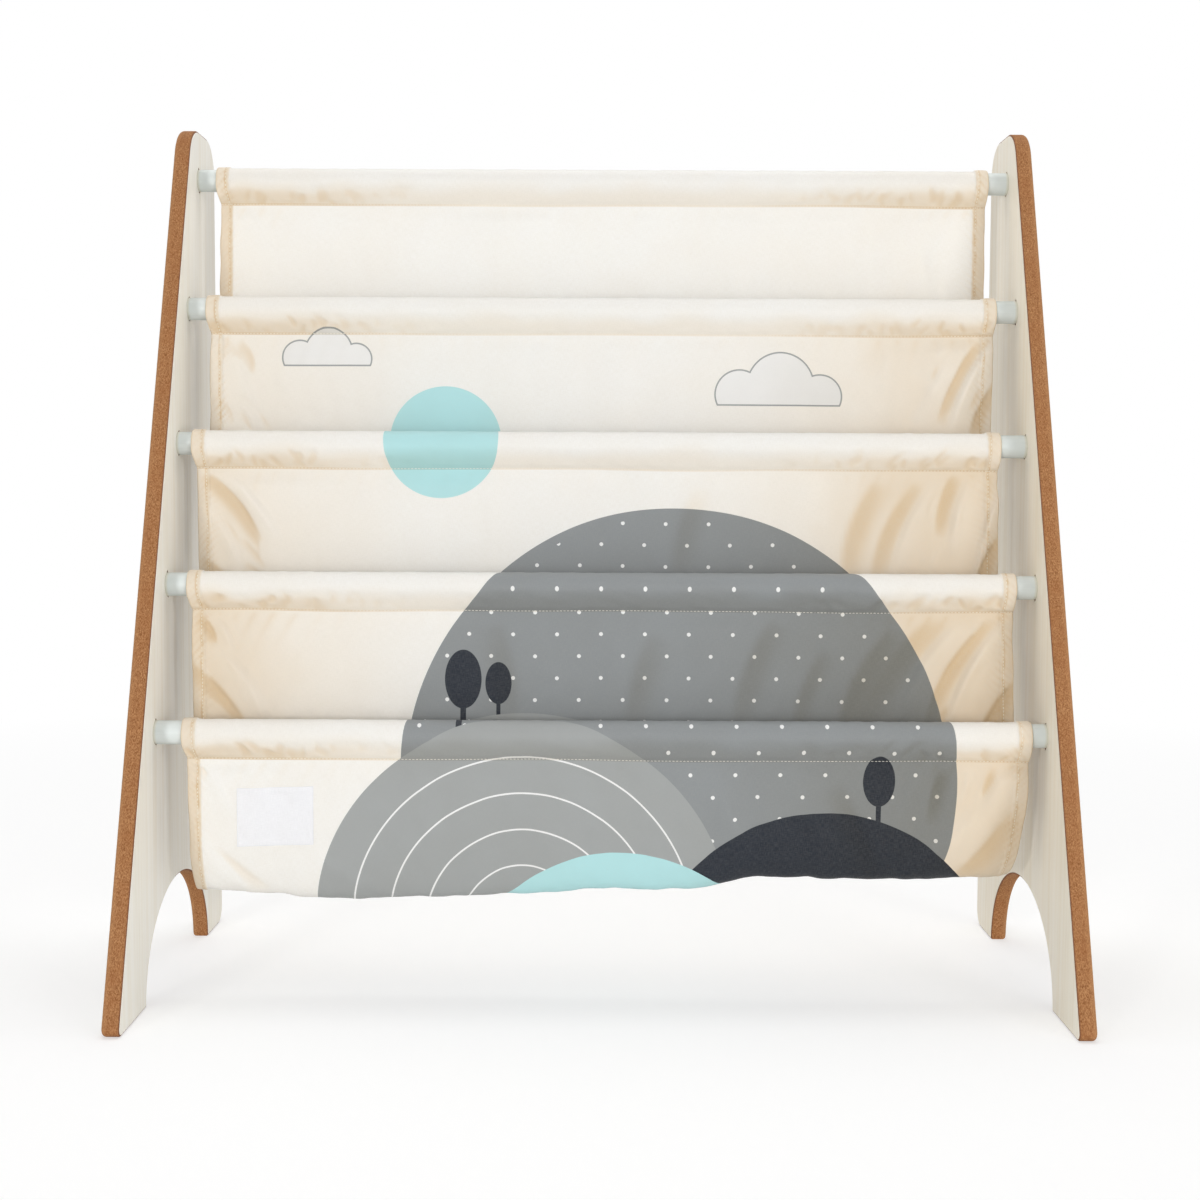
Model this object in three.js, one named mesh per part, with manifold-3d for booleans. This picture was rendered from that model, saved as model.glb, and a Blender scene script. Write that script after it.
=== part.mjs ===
import * as THREE from 'three';
import { mergeVertices } from 'three/addons/utils/BufferGeometryUtils.js';
import Module from 'manifold-3d';

// Sling bookshelf for children: two side panels on feet, five rods between them, and a cloth
// sling that loops over the rods and hangs between them in four open pockets.
// Millimetres. +X to the right, +Y to the back, +Z up. The origin lies on the floor under the
// middle of the shelf.

// Driving dimensions: the shelf as a whole
const shelfWidth = 616;
const panelHeight = 598;
const panelThickness = 12;
const panelBaseDepth = 295; // from the back edge to the sharp toe corner, before it is rounded
const panelTopDepth = 71; // from the back edge to the sharp front top corner

// Driving dimensions: the rods
const rodCount = 5;
const rodDiameter = 16;
const rodSetback = 31.7; // from the panel's front edge, square to it, to the rods' centre line
const topRodDrop = 35.2; // from the top edge down to the top rod's centre
const lowestRodHeight = 176.4;
const rodSeatDepth = 6; // depth of the blind holes that take the rod ends
const rodSeatClearance = 0.2; // all round a rod in its hole

// Driving dimensions: the sling
const slingSideGap = 12; // between the sling's side edge and the panel
const clothThickness = 0.8;
const clothGap = 0.3; // between cloth and what it lies on, and between two plies
const casingHeight = 27; // from the top of a rod casing down to its stitched seam
const pocketDrop = 112; // from the centre of a pocket's front rod down to its lowest fold

const finishes = {
  board: { color: 0xb0794a, roughness: 0.85, metalness: 0 },
  foil: { color: 0xe6e2d6, roughness: 0.5, metalness: 0 },
  rod: { color: 0xd8dcd9, roughness: 0.45, metalness: 0 },
  steel: { color: 0xb9bcc0, roughness: 0.35, metalness: 1 },
  brass: { color: 0xb59a5a, roughness: 0.4, metalness: 1 },
  cloth: { color: 0xf2ecdf, roughness: 0.9, metalness: 0 },
  label: { color: 0xffffff, roughness: 0.9, metalness: 0 },
};

const wasm = await Module();
wasm.setup();

function makeMesh(name, geometry, finish) {
  const mesh = new THREE.Mesh(geometry, new THREE.MeshStandardMaterial(finish));
  mesh.name = name;
  return mesh;
}

function toSolid(geometry) {
  const bare = geometry.clone();
  bare.deleteAttribute('normal');
  bare.deleteAttribute('uv');
  const merged = mergeVertices(bare);
  return new wasm.Manifold(new wasm.Mesh({
    numProp: 3,
    vertProperties: new Float32Array(merged.attributes.position.array),
    triVerts: new Uint32Array(merged.index.array),
  }));
}

function toGeometry(solid) {
  const { vertProperties, triVerts } = solid.getMesh();
  const geometry = new THREE.BufferGeometry();
  geometry.setAttribute('position', new THREE.BufferAttribute(new Float32Array(vertProperties), 3));
  geometry.setIndex(new THREE.BufferAttribute(new Uint32Array(triVerts), 1));
  geometry.computeVertexNormals();
  return geometry;
}

// Side view: where the front edge and the rods lie

const toeRadius = 5;
const innerFaceX = shelfWidth / 2 - panelThickness;
const frontLean = Math.atan((panelBaseDepth - panelTopDepth) / panelHeight);
// Rounding the toe draws the panel's foremost point back from its sharp corner
const toeDrawBack = toeRadius * (1 / Math.tan(Math.PI / 4 - frontLean / 2) - 1);
const backY = (panelBaseDepth - toeDrawBack) / 2;
const toeCornerY = backY - panelBaseDepth;

// Centre of a rod in the side view, counted from 0 at the top
function rodCentre(index) {
  const topHeight = panelHeight - topRodDrop;
  const height = topHeight - (index * (topHeight - lowestRodHeight)) / (rodCount - 1);
  const y = toeCornerY + height * Math.tan(frontLean) + rodSetback / Math.cos(frontLean);
  return new THREE.Vector2(y, height);
}
const rodCentres = Array.from({ length: rodCount }, (_, index) => rodCentre(index));

// Turns a shape drawn as (Y, Z) and extruded along X the right way up
const sideView = new THREE.Matrix4().makeBasis(
  new THREE.Vector3(0, 1, 0), new THREE.Vector3(0, 0, 1), new THREE.Vector3(1, 0, 0),
);

// A round piece along X. Its profile is radius against distance, and runs towards the given side.
const rodSides = 20;
const holeSides = 16;
function roundAlongX(profile, side, sides) {
  const points = profile.map(([radius, along]) => new THREE.Vector2(radius, along));
  const geometry = new THREE.LatheGeometry(points, sides);
  geometry.rotateZ((-side * Math.PI) / 2);
  return geometry;
}

// Side panels: fibreboard with a white foil on each face and a bare sawn edge all round

const frontTopRadius = 28;
const backTopRadius = 25;
const heelRadius = 13;
const archHeight = 67.5;
const frontFootLength = 65; // flat and toe together, from the foremost point to the arch
const rearFootLength = 50;
const foilThickness = 0.3;
const foilInset = 0.7; // the foil stops this far inside the sawn edge
const cutOverrun = 1;
const outlineDivisions = 5;

// Adds a rounded corner to a path that runs anticlockwise; the path draws the line up to it
function roundCorner(path, before, corner, after, radius) {
  const arriving = corner.clone().sub(before).normalize();
  const leaving = after.clone().sub(corner).normalize();
  const turn = arriving.angleTo(leaving);
  const start = corner.clone().addScaledVector(arriving, -radius * Math.tan(turn / 2));
  const centre = start.clone().add(new THREE.Vector2(-arriving.y, arriving.x).multiplyScalar(radius));
  const from = start.clone().sub(centre).angle();
  path.absarc(centre.x, centre.y, radius, from, from + turn, false);
}

// The panel's outline, drawn in from its edge by the inset
function panelShape(inset) {
  const slantInset = inset / Math.cos(frontLean);
  const frontYAt = (z) => toeCornerY + z * Math.tan(frontLean) + slantInset;
  const bottom = inset;
  const top = panelHeight - inset;
  const back = backY - inset;
  const toe = new THREE.Vector2(frontYAt(bottom), bottom);
  const heel = new THREE.Vector2(back, bottom);
  const backTop = new THREE.Vector2(back, top);
  const frontTop = new THREE.Vector2(frontYAt(top), top);
  const archFront = -backY + frontFootLength;
  const archBack = backY - rearFootLength;
  const archMiddle = (archFront + archBack) / 2;
  const archReach = (archBack - archFront) / 2 + inset;
  const archRise = archHeight + inset;
  const springing = Math.asin(bottom / archRise);
  const path = new THREE.Path();
  roundCorner(path, frontTop, toe, heel, toeRadius - inset);
  path.absellipse(archMiddle, 0, archReach, archRise, Math.PI - springing, Math.PI / 2, true);
  path.absellipse(archMiddle, 0, archReach, archRise, Math.PI / 2, springing, true);
  roundCorner(path, toe, heel, backTop, heelRadius - inset);
  roundCorner(path, heel, backTop, frontTop, backTopRadius - inset);
  roundCorner(path, backTop, frontTop, toe, frontTopRadius - inset);
  return new THREE.Shape(path.getPoints(outlineDivisions));
}

function extrudeSideways(shape, thickness) {
  const geometry = new THREE.ExtrudeGeometry(shape, { depth: thickness, bevelEnabled: false });
  geometry.translate(0, 0, -thickness / 2);
  return geometry.applyMatrix4(sideView);
}

// Connector bolts: a countersunk head with a hexagon socket, flush with the panel's outer face

const boltDiameter = 6;
const boltLength = 30;
const boltHeadDiameter = 12;
const boltHeadRim = 0.5;
const boltTipChamfer = 0.8;
const boltClearance = 0.3; // all round the shank in the panel
const headClearance = 0.2; // all round the head in its countersink
const socketAcrossFlats = 4;
const socketDepth = 2.2;
const boltSides = 12;

const boltRadius = boltDiameter / 2;
const headRadius = boltHeadDiameter / 2;
const headConeDepth = boltHeadRim + headRadius - boltRadius;

function boltGeometry(side) {
  const body = roundAlongX([
    [0, -boltLength],
    [boltRadius - boltTipChamfer, -boltLength],
    [boltRadius, -boltLength + boltTipChamfer],
    [boltRadius, -headConeDepth],
    [headRadius, -boltHeadRim],
    [headRadius, 0],
    [0, 0],
  ], side, boltSides);
  const socketRadius = socketAcrossFlats / Math.sqrt(3);
  const socket = new THREE.CylinderGeometry(socketRadius, socketRadius, socketDepth * 2, 6);
  socket.rotateZ((-side * Math.PI) / 2);
  return toGeometry(toSolid(body).subtract(toSolid(socket)));
}

// The hole at each rod, from the outer face inwards: countersink, bore for the bolt, seat for the rod
function rodHoleCutter(side) {
  const boreRadius = boltRadius + boltClearance;
  const seatRadius = rodDiameter / 2 + rodSeatClearance;
  const mouthRadius = headRadius + headClearance;
  const seatFloor = -(panelThickness - rodSeatDepth);
  return roundAlongX([
    [0, -panelThickness - cutOverrun],
    [seatRadius, -panelThickness - cutOverrun],
    [seatRadius, seatFloor],
    [boreRadius, seatFloor],
    [boreRadius, -(boltHeadRim + mouthRadius - boreRadius)],
    [mouthRadius, -boltHeadRim],
    [mouthRadius, cutOverrun],
    [0, cutOverrun],
  ], side, holeSides);
}

function panelCoreGeometry(side) {
  const coreThickness = panelThickness - 2 * foilThickness;
  let solid = toSolid(extrudeSideways(panelShape(0), coreThickness));
  for (const centre of rodCentres) {
    const cutter = rodHoleCutter(side).translate((side * panelThickness) / 2, centre.x, centre.y);
    solid = solid.subtract(toSolid(cutter));
  }
  return toGeometry(solid);
}

function foilGeometry(holeRadius) {
  const shape = panelShape(foilInset);
  for (const centre of rodCentres) {
    const circle = new THREE.Path().absarc(centre.x, centre.y, holeRadius, 0, 2 * Math.PI, true);
    shape.holes.push(new THREE.Path(circle.getPoints(holeSides / 2)));
  }
  return extrudeSideways(shape, foilThickness);
}

function makePanel(side, sideName) {
  const panel = new THREE.Group();
  panel.position.x = side * (innerFaceX + panelThickness / 2);
  const foilX = (side * (panelThickness - foilThickness)) / 2;
  const core = makeMesh(`side_panel_core_${sideName}`, panelCoreGeometry(side), finishes.board);
  const outerFoil = makeMesh(
    `panel_outer_foil_${sideName}`, foilGeometry(headRadius + headClearance), finishes.foil,
  );
  outerFoil.position.x = foilX;
  const innerFoil = makeMesh(
    `panel_inner_foil_${sideName}`, foilGeometry(rodDiameter / 2 + rodSeatClearance), finishes.foil,
  );
  innerFoil.position.x = -foilX;
  panel.add(core, outerFoil, innerFoil);
  return panel;
}

// Rods: painted dowels, each end bored for a threaded insert and for the bolt behind it

const rodEndChamfer = 0.6;
const insertDiameter = 9;
const insertLength = 14;
const insertClearance = 0.2; // all round the insert in the rod
const threadClearance = 0.2; // all round the bolt in the insert
const boltEndRoom = 2; // left free beyond the tip of the bolt

function rodGeometry() {
  const half = innerFaceX + rodSeatDepth;
  const radius = rodDiameter / 2;
  const pocketRadius = insertDiameter / 2 + insertClearance;
  const pilotRadius = boltRadius + boltClearance;
  const pocketEnd = half - insertLength;
  const pilotEnd = Math.min(pocketEnd, shelfWidth / 2 - boltLength) - boltEndRoom;
  const rightHalf = [
    [radius, half - rodEndChamfer],
    [radius - rodEndChamfer, half],
    [pocketRadius, half],
    [pocketRadius, pocketEnd],
    [pilotRadius, pocketEnd],
    [pilotRadius, pilotEnd],
    [0, pilotEnd],
  ];
  const leftHalf = rightHalf.map(([r, along]) => [r, -along]).reverse();
  return roundAlongX([...leftHalf, ...rightHalf], 1, rodSides);
}

function insertGeometry() {
  const bore = boltRadius + threadClearance;
  const outside = insertDiameter / 2;
  return roundAlongX([
    [bore, 0], [outside, 0], [outside, insertLength], [bore, insertLength], [bore, 0],
  ], 1, boltSides);
}

function makeRod(centre, number) {
  const rod = new THREE.Group();
  rod.position.set(0, centre.x, centre.y);
  rod.add(makeMesh(`rod_${number}`, rodGeometry(), finishes.rod));
  for (const [side, sideName] of [[-1, 'left'], [1, 'right']]) {
    const insert = makeMesh(`rod_insert_${number}_${sideName}`, insertGeometry(), finishes.brass);
    insert.position.x = side > 0 ? innerFaceX + rodSeatDepth - insertLength : -innerFaceX - rodSeatDepth;
    const bolt = makeMesh(`rod_bolt_${number}_${sideName}`, boltGeometry(side), finishes.steel);
    bolt.position.x = (side * shelfWidth) / 2;
    rod.add(insert, bolt);
  }
  return rod;
}

// Cloth: a solid sheet beside the surface pointAt(column, row), from backAt(column, row) behind it
// to faceAt(column, row) before it, where columns crossed with rows points forwards
function sheetGeometry(columns, rows, pointAt, faceAt, backAt) {
  const faceSize = columns * rows;
  const positions = new Float32Array(2 * faceSize * 3);
  const points = [];
  for (let column = 0; column < columns; column += 1) {
    for (let row = 0; row < rows; row += 1) points.push(pointAt(column, row));
  }
  const at = (column, row) => points[column * rows + row];
  for (let column = 0; column < columns; column += 1) {
    for (let row = 0; row < rows; row += 1) {
      const across = at(Math.min(column + 1, columns - 1), row).clone()
        .sub(at(Math.max(column - 1, 0), row));
      const along = at(column, Math.min(row + 1, rows - 1)).clone()
        .sub(at(column, Math.max(row - 1, 0)));
      const normal = across.cross(along).normalize();
      const index = column * rows + row;
      at(column, row).clone().addScaledVector(normal, faceAt(column, row))
        .toArray(positions, index * 3);
      at(column, row).clone().addScaledVector(normal, -backAt(column, row))
        .toArray(positions, (faceSize + index) * 3);
    }
  }
  const triangles = [];
  const addQuad = (a, b, c, d) => triangles.push(a, b, c, a, c, d);
  for (let column = 0; column < columns - 1; column += 1) {
    for (let row = 0; row < rows - 1; row += 1) {
      const corner = column * rows + row;
      const next = corner + rows;
      addQuad(corner, next, next + 1, corner + 1);
      addQuad(faceSize + corner, faceSize + corner + 1, faceSize + next + 1, faceSize + next);
    }
  }
  const rim = [];
  for (let row = 0; row < rows - 1; row += 1) rim.push(row);
  for (let column = 0; column < columns - 1; column += 1) rim.push(column * rows + rows - 1);
  for (let row = rows - 1; row > 0; row -= 1) rim.push((columns - 1) * rows + row);
  for (let column = columns - 1; column > 0; column -= 1) rim.push(column * rows);
  rim.forEach((vertex, place) => {
    const following = rim[(place + 1) % rim.length];
    addQuad(vertex, following, faceSize + following, faceSize + vertex);
  });
  const geometry = new THREE.BufferGeometry();
  geometry.setAttribute('position', new THREE.BufferAttribute(positions, 3));
  geometry.setIndex(triangles);
  geometry.computeVertexNormals();
  return geometry;
}

// Sling: casings round the rods and pockets between them, joined along the stitched seams

const slingWidth = 2 * (innerFaceX - slingSideGap);
const halfPly = clothThickness / 2;
const plySpacing = clothThickness + clothGap;

// How far each casing has slid to the right along its rod, as a share of the gap at its side
const casingShiftShares = [-0.03, -0.07, -0.32, 0.03, 0.35];
function casingShift(index) {
  return casingShiftShares[index % casingShiftShares.length] * slingSideGap;
}

// Rod casings: the cloth goes up behind the rod, over it, and down in front to the seam

const casingRadius = rodDiameter / 2 + clothGap + halfPly;
const seamDrop = casingHeight - (casingRadius + halfPly); // below the rod's centre
const casingColumns = 5;
const casingArcSteps = 12;
const skirtSteps = 2;

// The casing in side view, about the rod's centre
function casingProfile() {
  const seam = new THREE.Vector2(plySpacing / 2, -seamDrop);
  const tangentAngle = seam.angle() - 2 * Math.PI + Math.acos(casingRadius / seam.length());
  const onRod = (angle) => new THREE.Vector2(Math.cos(angle), Math.sin(angle)).multiplyScalar(casingRadius);
  const rear = [];
  for (let step = 0; step < skirtSteps; step += 1) {
    rear.push(seam.clone().lerp(onRod(tangentAngle), step / skirtSteps));
  }
  const front = rear.map((point) => new THREE.Vector2(-point.x, point.y)).reverse();
  const arc = [];
  for (let step = 0; step <= casingArcSteps; step += 1) {
    arc.push(onRod(tangentAngle + (step / casingArcSteps) * (Math.PI - 2 * tangentAngle)));
  }
  return [...rear, ...arc, ...front];
}

function makeCasing(index) {
  const profile = casingProfile();
  const centre = rodCentres[index];
  const pointAt = (column, row) => new THREE.Vector3(
    casingShift(index) + (column / (casingColumns - 1) - 1 / 2) * slingWidth,
    centre.x + profile[row].x,
    centre.y + profile[row].y,
  );
  const geometry = sheetGeometry(casingColumns, profile.length, pointAt, () => halfPly, () => halfPly);
  return makeMesh(`sling_casing_${index + 1}`, geometry, finishes.cloth);
}

// Label: a blank woven patch sewn on the outside of the front pocket, which hangs flat under it

const labelWidth = 51;
const labelHeight = 40;
const labelThickness = 0.6;
const labelFromEdge = 40; // from the sling's left edge
const labelFromSeam = 19; // from the front seam down to the label's top left corner
const labelTiltShare = 0.045; // how far it climbs for each length to the right
const labelColumns = 4;
const labelRows = 4;
const flatShares = [0.6, 1.2]; // of the label's size, from its middle: where folds start and are full

// How much of its folds the cloth has at a point, given as pocketPoint takes it
function foldShare(index, across, hang, frontLength) {
  if (index !== rodCount - 2 || hang < 0) return 1;
  const right = Math.abs(across * slingWidth - labelFromEdge - labelWidth / 2) / labelWidth;
  const down = Math.abs(frontLength - hang - labelFromSeam - labelHeight / 2) / labelHeight;
  return THREE.MathUtils.smoothstep(Math.max(right, down), ...flatShares);
}

// Pockets: each hangs as a chain does, in a catenary between its rear seam and its front seam

const hemWidth = 9; // the side edges are turned in, which adds one ply on the inside
const hemStep = 1.5; // over which the hem thins down to one ply
const sideDrawIn = 4; // the side hems draw in by this at the lowest fold
const foldDepth = 4.5; // the main folds swell into the pocket, most at its right end
const quietShare = 0.4; // how deep they are at the left end, of their depth at the right end
const foldSpacing = 150;
const foldSlantShare = 0.22; // how far a fold leans sideways for each length that it hangs
const foldPhaseShares = [0.1, 0.45, 0.8, 0.3];
const liftShares = [0, 0, 0, 0.12]; // of the pocket's drop: how much higher its right end hangs
const liftStartShare = 0.4; // of the sling's width
const liftEndShare = 0.75;
const middleColumns = 21;
const wallRows = 7;

// The bend radius at the lowest point of a catenary, found by halving the range that it lies in
const halvings = 40;
function catenaryRadius(span, rearRise, frontRise) {
  const spanFor = (radius) => (
    radius * (Math.acosh(1 + rearRise / radius) + Math.acosh(1 + frontRise / radius))
  );
  let low = 0;
  let high = span;
  for (let halving = 0; halving < halvings; halving += 1) {
    const middle = (low + high) / 2;
    if (spanFor(middle) < span) low = middle;
    else high = middle;
  }
  return (low + high) / 2;
}

// The hanging curve at a share of the sling's width
function pocketCurve(index, across) {
  const rear = rodCentres[index];
  const front = rodCentres[index + 1];
  const top = seamDrop + clothGap;
  const lift = liftShares[index % liftShares.length] * pocketDrop
    * THREE.MathUtils.smoothstep(across, liftStartShare, liftEndShare);
  const bottom = front.y - pocketDrop + lift;
  const rearRise = rear.y - top - bottom;
  const frontRise = front.y - top - bottom;
  const frontY = front.x + plySpacing / 2;
  const radius = catenaryRadius(rear.x - plySpacing / 2 - frontY, rearRise, frontRise);
  const lengthFor = (rise) => radius * Math.sinh(Math.acosh(1 + rise / radius));
  return {
    bottom,
    radius,
    lowestY: frontY + radius * Math.acosh(1 + frontRise / radius),
    rearLength: lengthFor(rearRise),
    frontLength: lengthFor(frontRise),
  };
}

// A point of the cloth: across is a share of the width from the left, and hang is the length
// along the cloth from the lowest fold, negative on the rear wall and positive on the front wall
function pocketPoint(index, across, hang) {
  const { bottom, radius, lowestY, rearLength, frontLength } = pocketCurve(index, across);
  const reach = hang < 0 ? -hang / rearLength : hang / frontLength;
  const frontness = (hang + rearLength) / (rearLength + frontLength);
  const shift = THREE.MathUtils.lerp(casingShift(index), casingShift(index + 1), frontness);
  const x = shift + (across - 1 / 2) * (slingWidth - 2 * sideDrawIn * (1 - reach));
  const turns = (x + foldSlantShare * hang) / foldSpacing + foldPhaseShares[index % foldPhaseShares.length];
  const swell = (1 + Math.cos(2 * Math.PI * turns)) / 2;
  const depth = foldDepth * foldShare(index, across, hang, frontLength)
    * THREE.MathUtils.lerp(quietShare, 1, across);
  const fold = Math.sign(hang) * depth * swell * Math.sin(Math.PI * reach);
  const sideways = radius * Math.asinh(hang / radius);
  return new THREE.Vector3(
    x,
    lowestY - sideways + fold,
    bottom + radius * (Math.cosh(sideways / radius) - 1),
  );
}

// Shares of the sling's width: the edges of both hems, and even columns between them
function columnShares() {
  const hem = hemWidth / slingWidth;
  const inner = (hemWidth + hemStep) / slingWidth;
  const middle = Array.from({ length: middleColumns }, (_, column) => (
    inner + (column / (middleColumns - 1)) * (1 - 2 * inner)
  ));
  return [0, hem, ...middle, 1 - hem, 1];
}

function makePocket(index) {
  const shares = columnShares();
  // The rows lie closer together towards the lowest fold, where the cloth bends most
  const pointAt = (column, row) => {
    const { rearLength, frontLength } = pocketCurve(index, shares[column]);
    const place = row / wallRows - 1;
    const wallLength = place < 0 ? rearLength : frontLength;
    return pocketPoint(index, shares[column], place * Math.abs(place) * wallLength);
  };
  const inHem = (column) => column < 2 || column >= shares.length - 2;
  const backAt = (column) => (inHem(column) ? halfPly + clothThickness : halfPly);
  const geometry = sheetGeometry(shares.length, 2 * wallRows + 1, pointAt, () => halfPly, backAt);
  return makeMesh(`sling_pocket_${index + 1}`, geometry, finishes.cloth);
}

function makeLabel() {
  const index = rodCount - 2;
  const pointAt = (column, row) => {
    const right = (column / (labelColumns - 1)) * labelWidth;
    const down = (1 - row / (labelRows - 1)) * labelHeight;
    const across = (labelFromEdge + right) / slingWidth;
    const { frontLength } = pocketCurve(index, across);
    return pocketPoint(index, across, frontLength - labelFromSeam - down + right * labelTiltShare);
  };
  const under = halfPly + clothGap;
  const geometry = sheetGeometry(
    labelColumns, labelRows, pointAt, () => under + labelThickness, () => -under,
  );
  return makeMesh('sling_label', geometry, finishes.label);
}

const shelf = new THREE.Group();
shelf.name = 'sling_bookshelf';
shelf.add(makePanel(-1, 'left'), makePanel(1, 'right'));
rodCentres.forEach((centre, index) => shelf.add(makeRod(centre, index + 1)));
for (let index = 0; index < rodCount; index += 1) shelf.add(makeCasing(index));
for (let index = 0; index < rodCount - 1; index += 1) shelf.add(makePocket(index));
shelf.add(makeLabel());

export default shelf;
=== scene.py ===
import math

import bmesh
import bpy
import numpy as np
from mathutils import Matrix, Vector
from mathutils.geometry import tessellate_polygon


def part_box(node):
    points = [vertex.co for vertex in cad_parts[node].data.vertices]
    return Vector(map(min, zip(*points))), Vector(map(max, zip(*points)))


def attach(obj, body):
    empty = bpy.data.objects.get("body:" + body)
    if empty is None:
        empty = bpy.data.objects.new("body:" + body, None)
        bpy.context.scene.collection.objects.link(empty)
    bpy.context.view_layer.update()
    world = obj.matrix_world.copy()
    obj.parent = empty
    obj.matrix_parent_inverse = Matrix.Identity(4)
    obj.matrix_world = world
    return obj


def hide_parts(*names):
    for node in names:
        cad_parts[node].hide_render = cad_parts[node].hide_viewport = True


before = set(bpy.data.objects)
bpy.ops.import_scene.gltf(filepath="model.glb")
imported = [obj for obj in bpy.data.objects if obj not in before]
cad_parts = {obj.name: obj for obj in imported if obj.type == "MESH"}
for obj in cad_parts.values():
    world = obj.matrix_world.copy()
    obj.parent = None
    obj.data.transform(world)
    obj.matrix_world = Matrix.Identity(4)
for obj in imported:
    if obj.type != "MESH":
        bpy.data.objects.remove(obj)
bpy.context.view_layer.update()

# Side panels. Each is a 12 mm fibreboard sawn to a slanted outline on two feet, its arrises eased,
# with a pale wood-grain foil pressed on both faces. Five holes take the rods and their bolts.

sides = {"left": -1, "right": 1}
board_low, board_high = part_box("side_panel_core_right")
foil_inner_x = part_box("panel_inner_foil_right")[0].x
foil_outer_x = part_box("panel_outer_foil_right")[1].x
board_inner_x, board_outer_x = board_low.x, board_high.x
panel_height, back_y = board_high.z, board_high.y
base_depth = 0.295  # from the back edge to the sharp toe corner
top_depth = 0.071
toe_radius = 0.005
heel_radius = 0.013
front_top_radius = 0.028
back_top_radius = 0.025
front_foot_length = 0.065
rear_foot_length = 0.050
arch_height = 0.0675
inner_arris = 0.0010  # radii of the eased arrises
outer_arris = 0.0030
foil_margin = 0.0001  # how far short of the arris the foil stops
foil_arris = 0.00008
corner_steps = 17
arch_steps = 65
arris_steps = 8
hole_steps = 48
pole_gap = 1e-7  # points of a solid that lie closer together than this are one

toe_corner_y = back_y - base_depth
front_lean = math.atan((base_depth - top_depth) / panel_height)
arch_front = board_low.y + front_foot_length
arch_back = back_y - rear_foot_length

rod_boxes = [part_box(f"rod_{number}") for number in range(1, 6)]
rod_centres = [((low.y + high.y) / 2, (low.z + high.z) / 2) for low, high in rod_boxes]
rod_radius = (rod_boxes[0][1].z - rod_boxes[0][0].z) / 2
rod_end_x = rod_boxes[0][1].x
rod_room = 0.0002  # all round a rod in its hole
bolt_radius = 0.003
bolt_room = 0.0003
head_radius = 0.006
head_room = 0.0002
head_rim = 0.0005
chip_height = 0.0021  # of the chips out of the foil at the top and the bottom of a rod's hole
chip_reach = 0.14  # radians
chip_depth = 0.0020  # into the board


def round_corner(before, corner, after, radius):
    """The arc that rounds a corner of a path. Its centre lies square to the arriving side, and it
    turns by the angle between the two sides."""
    arriving = (corner - before) / np.linalg.norm(corner - before)
    leaving = (after - corner) / np.linalg.norm(after - corner)
    turn = math.acos(arriving @ leaving)
    inwards = np.array([-arriving[1], arriving[0]])
    centre = corner - arriving * radius * math.tan(turn / 2) + inwards * radius
    angle = math.atan2(-inwards[1], -inwards[0]) + np.linspace(0, turn, corner_steps)
    return centre + radius * np.stack([np.cos(angle), np.sin(angle)], 1)


def panel_outline(inset):
    """The panel's side view as (y, z) points, drawn in from its edge by the inset: the arcs of its
    four corners with straight runs between them, and half an ellipse between the feet."""
    bottom, top, back = inset, panel_height - inset, back_y - inset
    slant = inset / math.cos(front_lean)
    front = [toe_corner_y + z * math.tan(front_lean) + slant for z in (bottom, top)]
    toe, heel = np.array([front[0], bottom]), np.array([back, bottom])
    back_top, front_top = np.array([back, top]), np.array([front[1], top])
    reach, rise = (arch_back - arch_front) / 2 + inset, arch_height + inset
    springing = math.asin(bottom / rise)
    angle = np.linspace(math.pi - springing, springing, arch_steps)
    arch = np.stack([(arch_front + arch_back) / 2 + reach * np.cos(angle), rise * np.sin(angle)], 1)
    return np.concatenate([
        round_corner(front_top, toe, heel, toe_radius - inset),
        arch,
        round_corner(toe, heel, back_top, heel_radius - inset),
        round_corner(heel, back_top, front_top, back_top_radius - inset),
        round_corner(back_top, front_top, toe, front_top_radius - inset),
    ])


def finished_piece(mesh, material, sharp, merged=0.0):
    """A piece from its mesh, with its faces turned outwards and smooth but for edges sharper than
    that angle. Points closer together than merged, as at a pole, become one."""
    shape = bmesh.new()
    shape.from_mesh(mesh)
    if merged:
        bmesh.ops.remove_doubles(shape, verts=shape.verts, dist=merged)
    bmesh.ops.recalc_face_normals(shape, faces=shape.faces)
    shape.to_mesh(mesh)
    shape.free()
    mesh.shade_smooth()
    mesh.set_sharp_from_angle(angle=sharp)
    mesh.materials.append(material)
    piece = bpy.data.objects.new(mesh.name, mesh)
    bpy.context.scene.collection.objects.link(piece)
    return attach(piece, "root")


def solid_piece(name, points, faces, material, sharp=math.radians(32)):
    """A piece from an array of its points and a list of its faces."""
    mesh = bpy.data.meshes.new(name)
    mesh.from_pydata(points.tolist(), [], faces)
    return finished_piece(mesh, material, sharp, merged=pole_gap)


def ring_quads(start, rings, count):
    """Quads between neighbouring closed rings of count points each, numbered from start."""
    ring, point = np.meshgrid(np.arange(rings - 1), np.arange(count), indexing="ij")
    here, beside = ring * count + point, ring * count + (point + 1) % count
    return (start + np.stack([here, beside, beside + count, here + count], -1)).reshape(-1, 4)


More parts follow.
